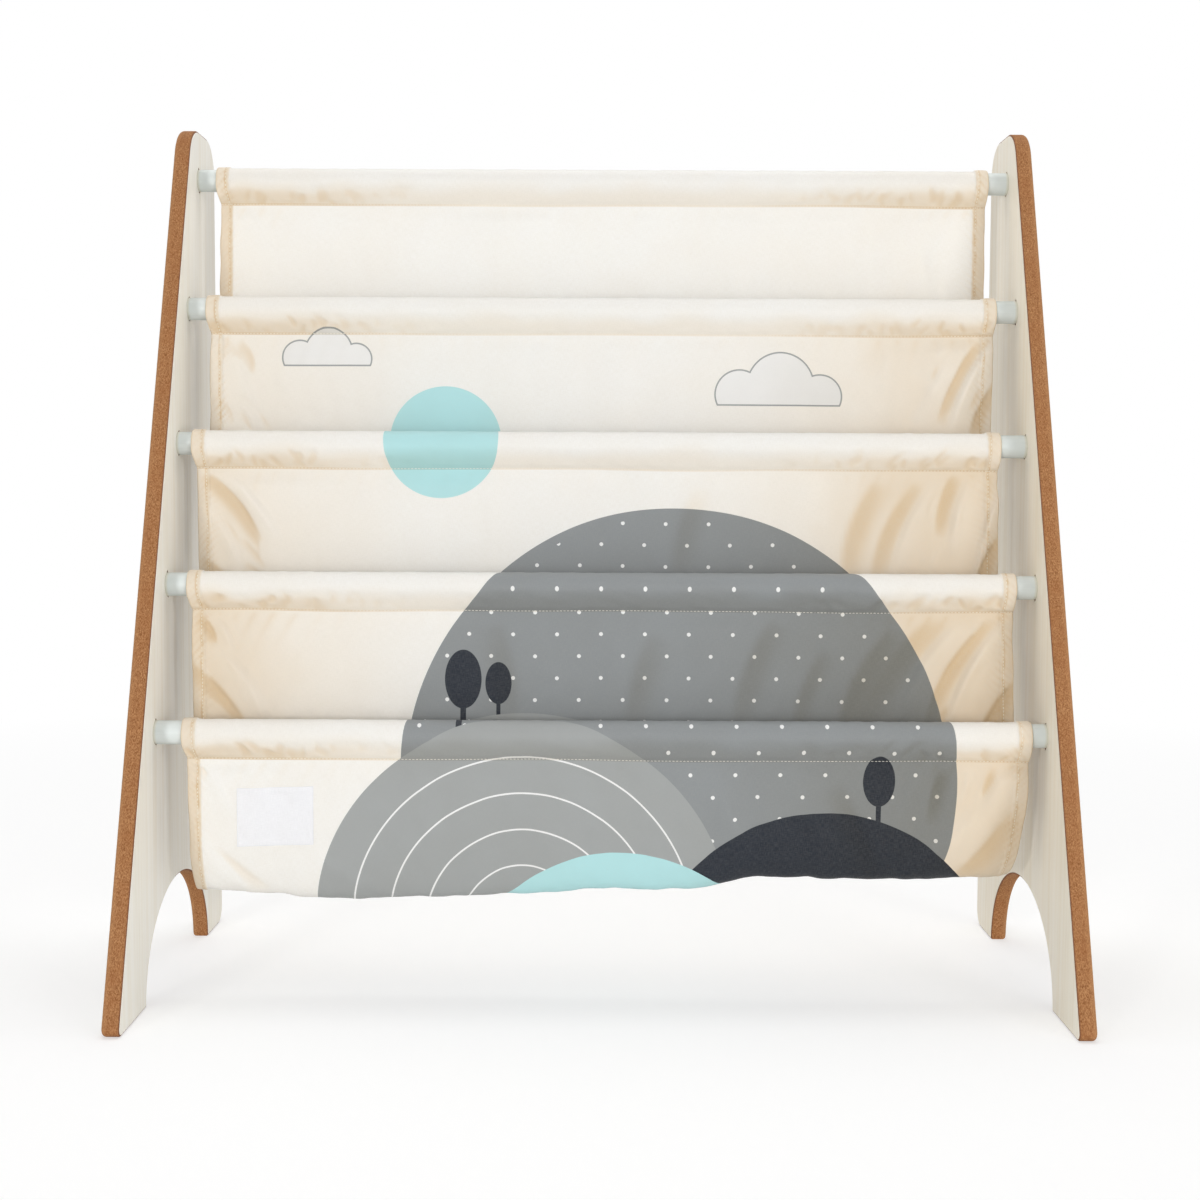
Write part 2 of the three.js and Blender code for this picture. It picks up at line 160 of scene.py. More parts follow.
def slab(name, edge, bores, material):
    """A flat board with round holes. Its rim carries the outline through the (inset, x) steps of
    the edge, and each hole carries a circle through the (radius, x) steps of its bore. Both run
    from one face to the other, and the faces are cut into triangles round the holes."""
    angle = np.linspace(0, 2 * math.pi, hole_steps, endpoint=False)
    stacks = [[np.insert(panel_outline(inset), 0, x, 1) for inset, x in edge]]
    for (y, z), bore in zip(rod_centres, bores):
        stacks.append([
            np.stack([x + 0 * angle, y + radius * np.cos(angle), z + radius * np.sin(angle)], 1)
            for radius, x in bore
        ])
    vertices, faces, first, last = [], [], [], []
    for rings in stacks:
        start, count = sum(map(len, vertices)), len(rings[0])
        vertices += rings
        faces += ring_quads(start, len(rings), count).tolist()
        first.append(start + np.arange(count))
        last.append(start + (len(rings) - 1) * count + np.arange(count))
    points = np.concatenate(vertices)
    for loops in (first, last):
        drawn = [[Vector((*points[i, 1:], 0)) for i in loop] for loop in loops]
        order = np.concatenate(loops)
        faces += order[np.array(tessellate_polygon(drawn))].tolist()
    return solid_piece(name, points, faces, material)


def paint(red, green, blue):
    """A colour as the eye reads it, from 0 to 255 each, in linear light."""
    share = np.array([red, green, blue]) / 255
    linear = np.where(share <= 0.04045, share / 12.92, ((share + 0.055) / 1.055) ** 2.4)
    return (*linear.tolist(), 1.0)


class Nodes:
    """Short ways to add nodes to a shader tree."""

    def __init__(self, tree):
        self.tree = tree

    def give(self, socket, value):
        """Sets a socket to a plain value, or links it to an output."""
        if isinstance(value, bpy.types.NodeSocket):
            self.tree.links.new(value, socket)
        else:
            socket.default_value = value

    def node(self, kind, inputs=(), **settings):
        made = self.tree.nodes.new("ShaderNode" + kind)
        for setting, value in settings.items():
            setattr(made, setting, value)
        for socket, value in dict(inputs).items():
            self.give(made.inputs[socket], value)
        return made

    def math(self, operation, *values, clamp=False):
        made = self.node("Math", dict(enumerate(values)), operation=operation, use_clamp=clamp)
        return made.outputs[0]

    def vectors(self, operation, *values):
        made = self.node("VectorMath", dict(enumerate(values)), operation=operation)
        return made.outputs["Value" if operation == "LENGTH" else "Vector"]

    def stretched(self, place, scales):
        """A place with each of its coordinates multiplied by its own scale."""
        return self.vectors("MULTIPLY", place, scales)

    def coordinate(self, place, axis):
        return self.node("SeparateXYZ", {0: place}).outputs[axis]

    def noise(self, place, scale, detail=2.0, roughness=0.5):
        """Smooth noise from 0 to 1, with scale waves to the unit of place."""
        inputs = {"Vector": place, "Scale": scale, "Detail": detail, "Roughness": roughness}
        return self.node("TexNoise", inputs).outputs["Fac"]

    def ramp(self, value, low, high, to_low=0.0, to_high=1.0):
        """Value carried from the range low to high onto another range, and held at its ends."""
        inputs = {"Value": value, "From Min": low, "From Max": high, "To Min": to_low, "To Max": to_high}
        return self.node("MapRange", inputs).outputs[0]

    def mix(self, share, under, over, blend="MIX"):
        made = self.node("Mix", data_type="RGBA", blend_type=blend)
        for socket, value in ((0, share), (6, under), (7, over)):
            self.give(made.inputs[socket], value)
        return made.outputs[2]

    def bump(self, height, depth, strength=1.0):
        inputs = {"Height": height, "Distance": depth, "Strength": strength}
        return self.node("Bump", inputs).outputs[0]

    def place(self):
        """Where a point lies on the object, in metres."""
        return self.node("TexCoord").outputs["Object"]


class Finish(Nodes):
    """A procedural material with one Principled shader."""

    def __init__(self, name, **shader_values):
        self.material = bpy.data.materials.new(name)
        self.material.use_nodes = True
        super().__init__(self.material.node_tree)
        self.shader = self.tree.nodes["Principled BSDF"]
        for socket, value in shader_values.items():
            self.shader.inputs[socket.replace("_", " ")].default_value = value

    def dressed(self, colour, normal=None, roughness=None):
        """The material, once its shader has its colour and what else varies over the surface."""
        for socket, value in (("Base Color", colour), ("Normal", normal), ("Roughness", roughness)):
            if value is not None:
                self.give(self.shader.inputs[socket], value)
        return self.material

    def blended(self, share, over):
        """The material, once another shader is mixed over its own by that share."""
        mixed = self.node("MixShader", {0: share, 1: self.shader.outputs[0], 2: over}).outputs[0]
        self.give(self.tree.nodes["Material Output"].inputs["Surface"], mixed)
        return self.material


def board_finish():
    """Sawn fibreboard: fine two-tone fibres, cloudy patches, a dark line along the inner arris,
    and a paler outer arris, a painted highlight where its rounding faces the light."""
    finish = Finish("bare_fibreboard", Roughness=0.88, Specular_IOR_Level=0.25)
    place = finish.place()
    fibres = finish.noise(finish.stretched(place, (1.0, 0.55, 0.55)), 1500.0, 3.0, 0.7)
    patches = finish.noise(place, 90.0, 3.0, 0.55)
    colour = finish.mix(
        finish.ramp(fibres, 0.36, 0.64), paint(126, 77, 41), paint(192, 141, 95))
    colour = finish.mix(finish.ramp(patches, 0.3, 0.75, 0.0, 0.5), colour, paint(154, 99, 58))
    from_shelf_middle = finish.math("ABSOLUTE", finish.coordinate(place, "X"))
    inner_line = finish.ramp(from_shelf_middle, board_inner_x + inner_arris, board_inner_x, 0.0, 0.75)
    # painted highlight: the outer arris is painted paler
    arris_highlight = finish.ramp(from_shelf_middle, board_outer_x - 1.3 * outer_arris, board_outer_x, 0.0, 0.45)
    colour = finish.mix(arris_highlight, colour, paint(200, 151, 106))
    colour = finish.mix(inner_line, colour, paint(118, 78, 60))
    return finish.dressed(colour, finish.bump(fibres, 0.0003, 0.6))


def foil_finish():
    """Pale decor foil: long upright streaks of wood grain, finer pores between them, and a satin
    coat that dips in the pores. The right panel's foil is made a little more yellow all over."""
    finish = Finish("pale_wood_grain_foil", Specular_IOR_Level=0.4)
    place = finish.place()
    wander = finish.noise(finish.stretched(place, (0.0, 6.0, 2.2)), 1.0, 2.0)
    drift = finish.node("CombineXYZ", {"Y": finish.ramp(wander, 0.0, 1.0, -0.012, 0.012)}).outputs[0]
    bent = finish.vectors("ADD", place, drift)
    streaks = finish.noise(finish.stretched(bent, (1.0, 210.0, 2.4)), 1.0, 4.0, 0.6)
    pores = finish.noise(finish.stretched(bent, (1.0, 1500.0, 28.0)), 1.0, 2.0, 0.6)
    bands = finish.noise(finish.stretched(bent, (1.0, 34.0, 0.8)), 1.0, 2.0)
    colour = finish.mix(finish.ramp(bands, 0.35, 0.65), paint(250, 247, 239), paint(246, 242, 231))
    colour = finish.mix(finish.ramp(streaks, 0.42, 0.7, 0.0, 0.45), colour, paint(237, 227, 207))
    colour = finish.mix(finish.ramp(pores, 0.58, 0.74, 0.0, 0.30), colour, paint(214, 202, 178))
    on_right = finish.math("GREATER_THAN", finish.coordinate(place, "X"), 0.0)
    yellow = finish.math("MULTIPLY", on_right, 0.4)
    colour = finish.mix(yellow, colour, paint(255, 246, 229), blend="MULTIPLY")
    roughness = finish.ramp(streaks, 0.3, 0.8, 0.42, 0.58)
    return finish.dressed(colour, finish.bump(pores, -0.00008, 0.4), roughness)


def eased(radius, face_x, inwards):
    """The (inset, x) steps of an eased arris: a quarter circle from the face to the rim."""
    angle = np.linspace(0, math.pi / 2, arris_steps)
    return list(zip(radius * (1 - np.sin(angle)), face_x + inwards * radius * (1 - np.cos(angle))))


board_material, foil_material = board_finish(), foil_finish()
seat_radius = rod_radius + rod_room
bore_radius = bolt_radius + bolt_room
mouth_radius = head_radius + head_room
countersink_x = foil_outer_x - head_rim - (mouth_radius - bore_radius)
chip_draw = np.random.default_rng(5)


def chipped_circle(radius):
    """A hole's radius at each angle: round, with a small chip out of its top and its bottom."""
    angle = np.linspace(0, 2 * math.pi, hole_steps, endpoint=False)
    chips = 0 * angle
    for middle in (math.pi / 2, 3 * math.pi / 2):
        middle = middle + chip_draw.uniform(-0.25, 0.25)
        size = chip_draw.uniform(0.55, 1.0) * chip_height
        chips = chips + size * np.exp(-(((angle - middle) / chip_reach) ** 2))
    return radius + chips


def rod_hole(rim):
    """The (radius, x) steps of a hole in the right board: chipped at its mouth, wide as the rod up
    to its end, then narrow for the bolt, and countersunk for its head."""
    return [
        (rim, board_inner_x),
        (rim, board_inner_x + chip_depth),
        (seat_radius, board_inner_x + chip_depth),
        (seat_radius, rod_end_x),
        (bore_radius, rod_end_x),
        (bore_radius, countersink_x),
        (mouth_radius, foil_outer_x - head_rim),
        (mouth_radius, board_outer_x),
    ]


for side_name, side in sides.items():
    rims = [chipped_circle(seat_radius) for _ in rod_centres]
    bores = [[(radius, side * x) for radius, x in rod_hole(rim)] for rim in rims]
    edge = eased(inner_arris, side * board_inner_x, side)
    edge += eased(outer_arris, side * board_outer_x, -side)[::-1]
    board = slab(f"{side_name}_panel_board", edge, bores, board_material)
    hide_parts(f"side_panel_core_{side_name}")
    for face_name, board_x, foil_x, holes, arris in (
        ("inner", board_inner_x, foil_inner_x, rims, inner_arris),
        ("outer", board_outer_x, foil_outer_x, [mouth_radius] * len(rims), outer_arris),
    ):
        inset = arris + foil_margin
        soft_x = foil_x + math.copysign(foil_arris, board_x - foil_x)
        edge = [(inset, side * board_x), (inset, side * soft_x), (inset + foil_arris, side * foil_x)]
        bores = [[(hole, side * board_x), (hole, side * foil_x)] for hole in holes]
        foil = slab(f"{side_name}_panel_{face_name}_foil", edge, bores, foil_material)
        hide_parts(f"panel_{face_name}_foil_{side_name}")

# Rods. Turned hardwood dowels under a pale grey-white paint, seated in blind holes in the panels.
# Each end is bored for a brass threaded insert, and deeper for the tip of the bolt.

rod_sides = 64
rod_chamfer = 0.0006
insert_radius = 0.0045
insert_room = 0.0002
insert_length = 0.014
bolt_length = 0.030
bolt_end_room = 0.002


def turned(name, profile, centre, turns, material, sharp=math.radians(32)):
    """A piece turned about the line along X through centre (y, z). Its profile is (x, radius)
    steps, where a radius is one number or one for each angle, and 0 closes an end."""
    angle = np.linspace(0, 2 * math.pi, turns, endpoint=False)
    rings = [
        np.stack([x + 0 * angle, centre[0] + radius * np.cos(angle), centre[1] + radius * np.sin(angle)], 1)
        for x, radius in profile
    ]
    faces = ring_quads(0, len(rings), turns).tolist()
    return solid_piece(name, np.concatenate(rings), faces, material, sharp)


def rod_finish():
    """Satin paint on wood: faint brush marks along the rod, cloudy thickness, and a darker,
    yellower ring where it meets the panels."""
    finish = Finish("grey_white_rod_paint", Roughness=0.42, Specular_IOR_Level=0.45)
    place = finish.place()
    brush = finish.noise(finish.stretched(place, (14.0, 700.0, 700.0)), 1.0, 3.0)
    clouds = finish.noise(place, 60.0, 2.0)
    colour = finish.mix(finish.ramp(clouds, 0.3, 0.7), paint(210, 217, 215), paint(219, 225, 224))
    colour = finish.mix(finish.ramp(brush, 0.55, 0.8, 0.0, 0.4), colour, paint(200, 207, 205))
    along = finish.math("ABSOLUTE", finish.coordinate(place, "X"))
    ring = finish.ramp(along, foil_inner_x - 0.0022, foil_inner_x - 0.0004, 0.0, 0.45)
    colour = finish.mix(ring, colour, paint(205, 195, 160))
    return finish.dressed(colour, finish.bump(brush, 0.0001, 0.5))


def plated_finish(name, light, dark, roughness):
    """Plated or turned metal: fine turning marks round the axis, and duller cloudy patches."""
    finish = Finish(name, Metallic=1.0)
    place = finish.place()
    marks = finish.noise(finish.stretched(place, (2500.0, 60.0, 60.0)), 1.0, 2.0)
    patches = finish.noise(place, 500.0, 3.0)
    colour = finish.mix(finish.ramp(patches, 0.3, 0.7), light, dark)
    dullness = finish.ramp(patches, 0.3, 0.7, roughness, roughness + 0.15)
    return finish.dressed(colour, finish.bump(marks, 0.00004, 0.4), dullness)


rod_material = rod_finish()
brass_material = plated_finish("insert_brass", paint(198, 168, 104), paint(170, 138, 78), 0.32)
pilot_x = min(rod_end_x - insert_length, foil_outer_x - bolt_length) - bolt_end_room
right_end = [
    (rod_end_x - rod_chamfer, rod_radius),
    (rod_end_x, rod_radius - rod_chamfer),
    (rod_end_x, insert_radius + insert_room),
    (rod_end_x - insert_length, insert_radius + insert_room),
    (rod_end_x - insert_length, bore_radius),
    (pilot_x, bore_radius),
    (pilot_x, 0.0),
]
for number, centre in enumerate(rod_centres, 1):
    left_end = [(-x, radius) for x, radius in right_end[::-1]]
    rod = turned(f"painted_rod_{number}", left_end + right_end, centre, rod_sides, rod_material)
    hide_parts(f"rod_{number}")
    for side_name in sides:
        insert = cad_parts[f"rod_insert_{number}_{side_name}"].data
        insert.materials.clear()
        insert.materials.append(brass_material)

# Connector bolts. Zinc-plated steel, M6 by 30, driven through each panel into the insert behind
# it. The countersunk head ends flush with the outer face and has a hexagon socket.

socket_apothem = 0.002
socket_depth = 0.0022
socket_chamfer = 0.0003
head_edge = 0.00015
bolt_tip = 0.0008
bolt_sides = 48


def hexagon(apothem):
    """The radius of a hexagon at each of the bolt's angles: the apothem over the cosine of the
    angle from the middle of the nearest flat."""
    angle = np.linspace(0, 2 * math.pi, bolt_sides, endpoint=False)
    return apothem / np.cos((angle + math.pi / 6) % (math.pi / 3) - math.pi / 6)


steel_material = plated_finish("zinc_plated_steel", paint(196, 199, 203), paint(170, 174, 179), 0.28)
cone_depth = head_rim + head_radius - bolt_radius
bolt_profile = [
    (-socket_depth, 0.0),
    (-socket_depth, hexagon(socket_apothem)),
    (-socket_chamfer, hexagon(socket_apothem)),
    (0.0, hexagon(socket_apothem + socket_chamfer)),
    (0.0, head_radius - head_edge),
    (-head_edge, head_radius),
    (-head_rim, head_radius),
    (-cone_depth, bolt_radius),
    (-bolt_length + bolt_tip, bolt_radius),
    (-bolt_length, bolt_radius - bolt_tip),
    (-bolt_length, 0.0),
]
for number, centre in enumerate(rod_centres, 1):
    for side_name, side in sides.items():
        profile = [(side * (foil_outer_x + x), radius) for x, radius in bolt_profile]
        bolt = turned(
            f"connector_bolt_{number}_{side_name}", profile, centre, bolt_sides, steel_material,
            sharp=math.radians(22))
        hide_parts(f"rod_bolt_{number}_{side_name}")

# Sling cloth. One plain-woven cream cotton serves the whole sling. Its side edges are turned in
# and stitched, and a picture of round hills, a sun and clouds is printed on the face that shows.

ply = 0.0008
ply_gap = 0.0003
ply_spacing = ply + ply_gap
sling_half_width = foil_inner_x - 0.0145
sling_width = 2 * sling_half_width
hem_width = 0.009
hem_step = 0.0012
hem_stitch_inset = 0.0018  # from the hem's inner edge
hem_stitch = hem_width - hem_stitch_inset  # from the side edge
stitch_length = 0.0018
stitch_pitch = 0.0024
stitch_dip = 0.00018  # how deep the thread pulls into the cloth
thread_pitch = 0.0005
casing_shifts = (-0.0004, -0.0008, -0.0038, 0.0004, 0.0042)
left_draw_in = 0.0022  # how far each side edge is drawn in at the seams
right_draw_in = 0.0008
draw_in_reach = 0.022
folds_end = 0.100  # from each side edge, where the narrow folds are
steep_share, gentle_share = 0.45, 1.05  # of a fold's width, on its two sides
edge_reach = 0.05  # from each side edge, where the cloth hangs less smoothly
hem_rounding = (-0.0006, 0.0008)  # from the side edge, from where to where its fold rounds off
groove_reach = 0.0007  # to each side of a line of stitches
hem_columns, folded_columns, middle_columns = 20, 64, 118


def smooth(value, low, high):
    """A smooth step: 0 up to low, 1 from high on, and three times the square less twice the cube
    of the share between them."""
    share = np.clip((value - low) / (high - low), 0, 1)
    return share * share * (3 - 2 * share)


def waves(x, s, length, seed, stretch=1.0):
    """Smooth random waves of about that length, from about -1 to 1: the sum of ten sine waves in
    random directions. Stretch is how much longer they run along s than across it."""
    draw = np.random.default_rng(seed)
    total = 0.0
    for _ in range(10):
        turn, start = draw.uniform(0, 2 * math.pi), draw.uniform(0, 2 * math.pi)
        size = draw.uniform(0.7, 1.6)
        run = np.cos(turn) * x + np.sin(turn) * s / stretch
        total = total + np.sin(2 * math.pi * run / (length * size) + start)
    return total / 3.2


def crease(x, s, start, end, width, depth, bow=0.0):
    """One fold along the line from start to end: its depth falls off as a bell across the line,
    steeper towards the middle of the sling, and as a half wave along it. Bow bends the line to
    one side by that much at its middle."""
    start, along = np.array(start), np.array(end) - np.array(start)
    length = np.linalg.norm(along)
    share = ((x - start[0]) * along[0] + (s - start[1]) * along[1]) / length**2
    beside = ((s - start[1]) * along[0] - (x - start[0]) * along[1]) / length
    held = np.clip(share, 0, 1)
    beside = beside - bow * np.sin(math.pi * held)
    away = (share - held) * length
    beside = beside / np.where(beside * along[0] < 0, steep_share, gentle_share)
    profile = np.exp(-(beside**2 + away**2) / width**2)
    return depth * profile * np.sin(math.pi * np.clip(0.12 + 0.88 * share, 0, 1))


def small_creases(seed, count, side, from_edges, starts, lengths, leans, widths, depths):
    """Short random creases near one side edge, each as its start and end, width, depth and bow.
    Each pair of values is the lowest and highest that a crease draws from."""
    draw = np.random.default_rng(seed)
    creases = []
    for _ in range(count):
        start_x, start, length = (draw.uniform(*pair) for pair in (from_edges, starts, lengths))
        begin = side * (sling_half_width - start_x), start
        end = begin[0] - side * draw.uniform(*leans) * length, start + length
        bow = side * length * draw.uniform(-0.06, 0.15)
        creases.append((begin, end, draw.uniform(*widths), draw.uniform(*depths), bow))
    return creases


def pucker(along, from_line, length, reach, slant, seed):
    """Short creases that run out from a line of stitches: a sharpened sine wave along it, whose
    phase wanders, leaning by the slant and dying out over the reach."""
    phase = 2 * math.pi * (along + slant * from_line) / length
    phase = phase + 2.4 * waves(along, from_line, 7 * length, seed)
    size = 0.55 + 0.45 * waves(along, from_line, 5 * length, seed + 1)
    return size * (1 - np.abs(np.sin(phase / 2))) ** 1.5 * np.exp(-np.abs(from_line) / reach)


def stitch_groove(from_line, along):
    """How deep the cloth dips beside a line of stitches, deeper at each stitch's two ends."""
    dip = stitch_dip * np.exp(-((from_line / groove_reach) ** 2))
    return dip * (0.7 + 0.3 * np.cos(2 * math.pi * along / stitch_pitch))


def spread(count, crowding=0.09):
    """Shares from 0 to 1 that lie closer together at both ends: even steps less a sine wave."""
    step = np.linspace(0, 1, count)
    return step - crowding * np.sin(2 * math.pi * step)


def columns():
    """Places across the sling as shares of its width from the left, closest together in the hems
    and close where the narrow folds are."""
    hem_end = hem_width + 2 * hem_step
    hem = np.linspace(0, hem_end, hem_columns)[:-1]
    folded = np.linspace(hem_end, folds_end, folded_columns)[:-1]
    middle = np.linspace(folds_end, sling_width - folds_end, middle_columns)
    left = np.concatenate([hem, folded])
    return np.concatenate([left, middle, sling_width - left[::-1]]) / sling_width


def from_edge(across):
    """How far a place lies from the nearer side edge, along the cloth."""
    return (0.5 - np.abs(across - 0.5)) * sling_width


def near_edge(across):
    """1 at a side edge, and less and less further in, over the edge's reach."""
    return np.exp(-from_edge(across) / edge_reach)


def drawn_in(across, left, right):
    """How far a place has moved along X because its side edge is drawn in, less further from it."""
    return (left * np.exp(-across * sling_width / draw_in_reach)
            - right * np.exp(-(1 - across) * sling_width / draw_in_reach))


def hem_share(across):
    """1 in the turned-in hems and 0 outside them."""
    return smooth(from_edge(across), hem_width + hem_step, hem_width)


def hem_ply(across):
    """How much thicker the turned-in hem makes the cloth, rounded off at the folded edge."""
    return ply * hem_share(across) * smooth(from_edge(across), *hem_rounding)


def cloth_sheet(name, face, back, cloth_place, print_place, ink, warm_shade, material):
    """A closed sheet between two grids of points, face and back, joined round their rim. It
    carries two UV maps in metres, along the cloth and over the printed picture, and two
    attributes: how much ink lies on it, and how much warm painted shade lies on it."""
    size = face.shape[0] * face.shape[1]
    number = np.arange(size).reshape(face.shape[:2])
    quads = np.stack([number[:-1, :-1], number[1:, :-1], number[1:, 1:], number[:-1, 1:]], -1)
    quads = quads.reshape(-1, 4)
    rim = np.concatenate([number[0, :-1], number[:-1, -1], number[-1, :0:-1], number[:0:-1, 0]])
    beside = np.roll(rim, -1)
    faces = np.concatenate([
        quads, quads[:, ::-1] + size, np.stack([rim, beside, beside + size, rim + size], 1)])
    points = np.concatenate([face.reshape(-1, 3), back.reshape(-1, 3)])
    mesh = bpy.data.meshes.new(name)
    mesh.from_pydata(points.tolist(), [], faces.tolist())
    corner = np.zeros(len(mesh.loops), np.int32)
    mesh.loops.foreach_get("vertex_index", corner)
    for map_name, (u, v) in (("cloth", cloth_place), ("print", print_place)):
        flat = np.tile(np.stack([u.ravel(), v.ravel()], 1), (2, 1))
        mesh.uv_layers.new(name=map_name).data.foreach_set("uv", flat[corner].astype(np.float32).ravel())
    for attribute_name, layers in (("ink", ink), ("warm_shade", (warm_shade, warm_shade))):
        values = np.concatenate([layer.ravel() for layer in layers]).astype(np.float32)
        mesh.attributes.new(attribute_name, "FLOAT", "POINT").data.foreach_set("value", values)
    return finished_piece(mesh, material, math.radians(62))


def picture(finish, at, cloth_colour):
    """The printed picture over the cloth's own colour, on a flat place in metres. Each motif is a
    disc or a few of them joined, and its ink lies where the distance to its edge is below 0."""
    def disc(x, z, radius, wide=1.0):
        moved = finish.stretched(finish.vectors("SUBTRACT", at, (x, z, 0)), (1 / wide, 1, 1))
        return finish.math("SUBTRACT", finish.vectors("LENGTH", moved), radius)

    def combined(operation, *distances):
        total = distances[0]
        for distance in distances[1:]:
            total = finish.math(operation, total, distance)
        return total

    def either(*distances):
        return combined("MINIMUM", *distances)

    def both(*distances):
        return combined("MAXIMUM", *distances)

    def dots(pitch, radius):
        """Dots in staggered rows: the place is folded into one square cell, twice."""
        rows = []
        for offset in (0.0, pitch / 2):
            moved = finish.vectors("ADD", at, (offset, offset, 0))
            cell = finish.vectors("WRAP", moved, (pitch, pitch, pitch), (0, 0, 0))
            centred = finish.vectors("SUBTRACT", cell, (pitch / 2, pitch / 2, 0))
            away = finish.vectors("LENGTH", finish.stretched(centred, (1, 1, 0)))
            rows.append(finish.math("SUBTRACT", away, radius))
        return either(*rows)

    def over(below, ink, distance):
        return finish.mix(finish.math("LESS_THAN", distance, 0.0), below, ink)

    to_right, upwards = finish.coordinate(at, "X"), finish.coordinate(at, "Y")

    def cloud(x, z, size):
        """Three discs over a flat base."""
        puffs = either(
            disc(x, z + 0.25 * size, size), disc(x - 1.25 * size, z, 0.72 * size),
            disc(x + 1.2 * size, z - 0.05 * size, 0.64 * size))
        return both(puffs, finish.math("SUBTRACT", z - 0.3 * size, upwards))

    def tree(x, z, height):
        """A tall oval crown on a thin trunk."""
        crown = disc(x, z + 0.66 * height, 0.36 * height, wide=0.62)
        beside = finish.math("ABSOLUTE", finish.math("SUBTRACT", to_right, x))
        trunk = both(
            finish.math("SUBTRACT", beside, 0.035 * height),
            finish.math("SUBTRACT", upwards, z + 0.6 * height),
            finish.math("SUBTRACT", z - 0.05 * height, upwards))
        return either(crown, trunk)

    grey, deep_grey, charcoal = paint(168, 171, 171), paint(148, 152, 154), paint(28, 36, 49)
    mint, white = paint(188, 234, 237), paint(250, 250, 250)
    outline, plain_border, stripe_spacing, half_stripe = 0.0011, 0.006, 0.0125, 0.0006
    back_hill = disc(0.052, 0.140, 0.186)
    left_hill = disc(-0.052, 0.046, 0.140)
    low_hill = disc(0.150, 0.006, 0.118)
    mint_hill = disc(0.014, -0.010, 0.106)
    clouds = either(cloud(0.128, 0.407, 0.0235), cloud(-0.196, 0.432, 0.0165))
    trees = either(tree(-0.094, 0.172, 0.056), tree(-0.070, 0.180, 0.040), tree(0.186, 0.114, 0.048))
    colour = over(cloth_colour, mint, disc(-0.112, 0.372, 0.040))
    colour = over(colour, grey, finish.math("SUBTRACT", clouds, outline))
    colour = over(colour, white, clouds)
    colour = over(colour, deep_grey, back_hill)
    dotted = both(finish.math("ADD", back_hill, plain_border), dots(0.030, 0.00135))
    colour = over(colour, white, dotted)
    colour = over(colour, charcoal, trees)
    colour = over(colour, grey, left_hill)
    ridges = finish.math("PINGPONG", finish.math("ADD", left_hill, 0.2), stripe_spacing)
    stripes = both(
        finish.math("SUBTRACT", ridges, half_stripe), finish.math("ADD", left_hill, plain_border))
    colour = over(colour, white, stripes)
    colour = over(colour, charcoal, low_hill)
    return over(colour, mint, mint_hill)


def cloth_finish():
    """Plain-woven cotton: warp and weft as two crossed sine waves, slubs along the threads, a colour
    from whitish to warm and darker that paints shade in creases, on skirts, in hems and towards the
    sides, with a little random mottling, light that shines through, and the print, whose inks are
    darkened by the same painted shade: the cloth's colour is divided by that shade before the
    print and the whole multiplied by it after."""
    finish = Finish("cream_printed_cotton", Roughness=0.6, Specular_IOR_Level=0.3,
                    Sheen_Weight=0.12, Sheen_Roughness=0.45)
    cloth = finish.node("UVMap", uv_map="cloth").outputs[0]
    drawn = finish.node("UVMap", uv_map="print").outputs[0]
    ink = finish.node("Attribute", attribute_name="ink").outputs["Fac"]
    warm_shade = finish.node("Attribute", attribute_name="warm_shade").outputs["Fac"]
    slubs = finish.noise(finish.stretched(cloth, (300.0, 2400.0, 1.0)), 1.0, 2.0)
    slubs_up = finish.noise(finish.stretched(cloth, (2400.0, 300.0, 1.0)), 1.0, 2.0)
    clouds = finish.noise(cloth, 16.0, 3.0)
    # the painted shade of the warm_shade attribute, with a little random mottling from the clouds
    warm = finish.math("ADD", warm_shade, finish.ramp(clouds, 0.3, 0.7, -0.05, 0.04), clamp=True)
    # painted shade: whitish where none is painted, warm where it is, and darker still where it is deepest
    colour = finish.mix(warm, paint(250, 249, 246), paint(239, 220, 189))
    colour = finish.mix(finish.ramp(warm, 0.36, 1.0), colour, paint(219, 192, 153))
    threads = finish.ramp(finish.math("MULTIPLY", slubs, slubs_up), 0.18, 0.34, 0.0, 0.12)
    bare = finish.mix(threads, colour, paint(232, 224, 206))
    # painted shade on the inks, darker where the cloth's shade is painted
    ink_shade = finish.mix(warm, paint(255, 255, 255), paint(206, 198, 180))
    printed = picture(finish, drawn, finish.mix(1.0, bare, ink_shade, blend="DIVIDE"))
    printed = finish.mix(1.0, printed, ink_shade, blend="MULTIPLY")
    worn = finish.mix(finish.ramp(threads, 0.0, 0.14, 0.0, 0.06), printed, paint(206, 206, 202))
    turns = finish.stretched(cloth, (2 * math.pi / thread_pitch,) * 3)
    warp, weft = (finish.math("SINE", finish.coordinate(turns, axis)) for axis in "XY")
    weave = finish.math("MULTIPLY", finish.math("MULTIPLY", warp, weft), 0.4)
    height = finish.math("ADD", weave, finish.math("ADD", slubs, slubs_up))
    finish.dressed(finish.mix(ink, bare, worn), finish.bump(height, 0.00006, 0.35))
    under_ink = finish.mix(finish.math("MULTIPLY", ink, 0.75), bare, worn)
    # light shining through is painted warmer where the shade is painted
    tint = finish.mix(warm, paint(255, 252, 246), paint(255, 236, 206))
    shine = finish.mix(1.0, tint, under_ink, blend="MULTIPLY")
    through = finish.node("BsdfTranslucent", {"Color": shine}).outputs[0]
    return finish.blended(finish.ramp(ink, 0.0, 1.0, 0.22, 0.14), through)


cloth_material = cloth_finish()
share_across = columns()

# Rod casings. The cloth goes up behind each rod, over it and down in front, and both plies are
# stitched together below the rod. Slack gathers in slanting creases between rod and seam.

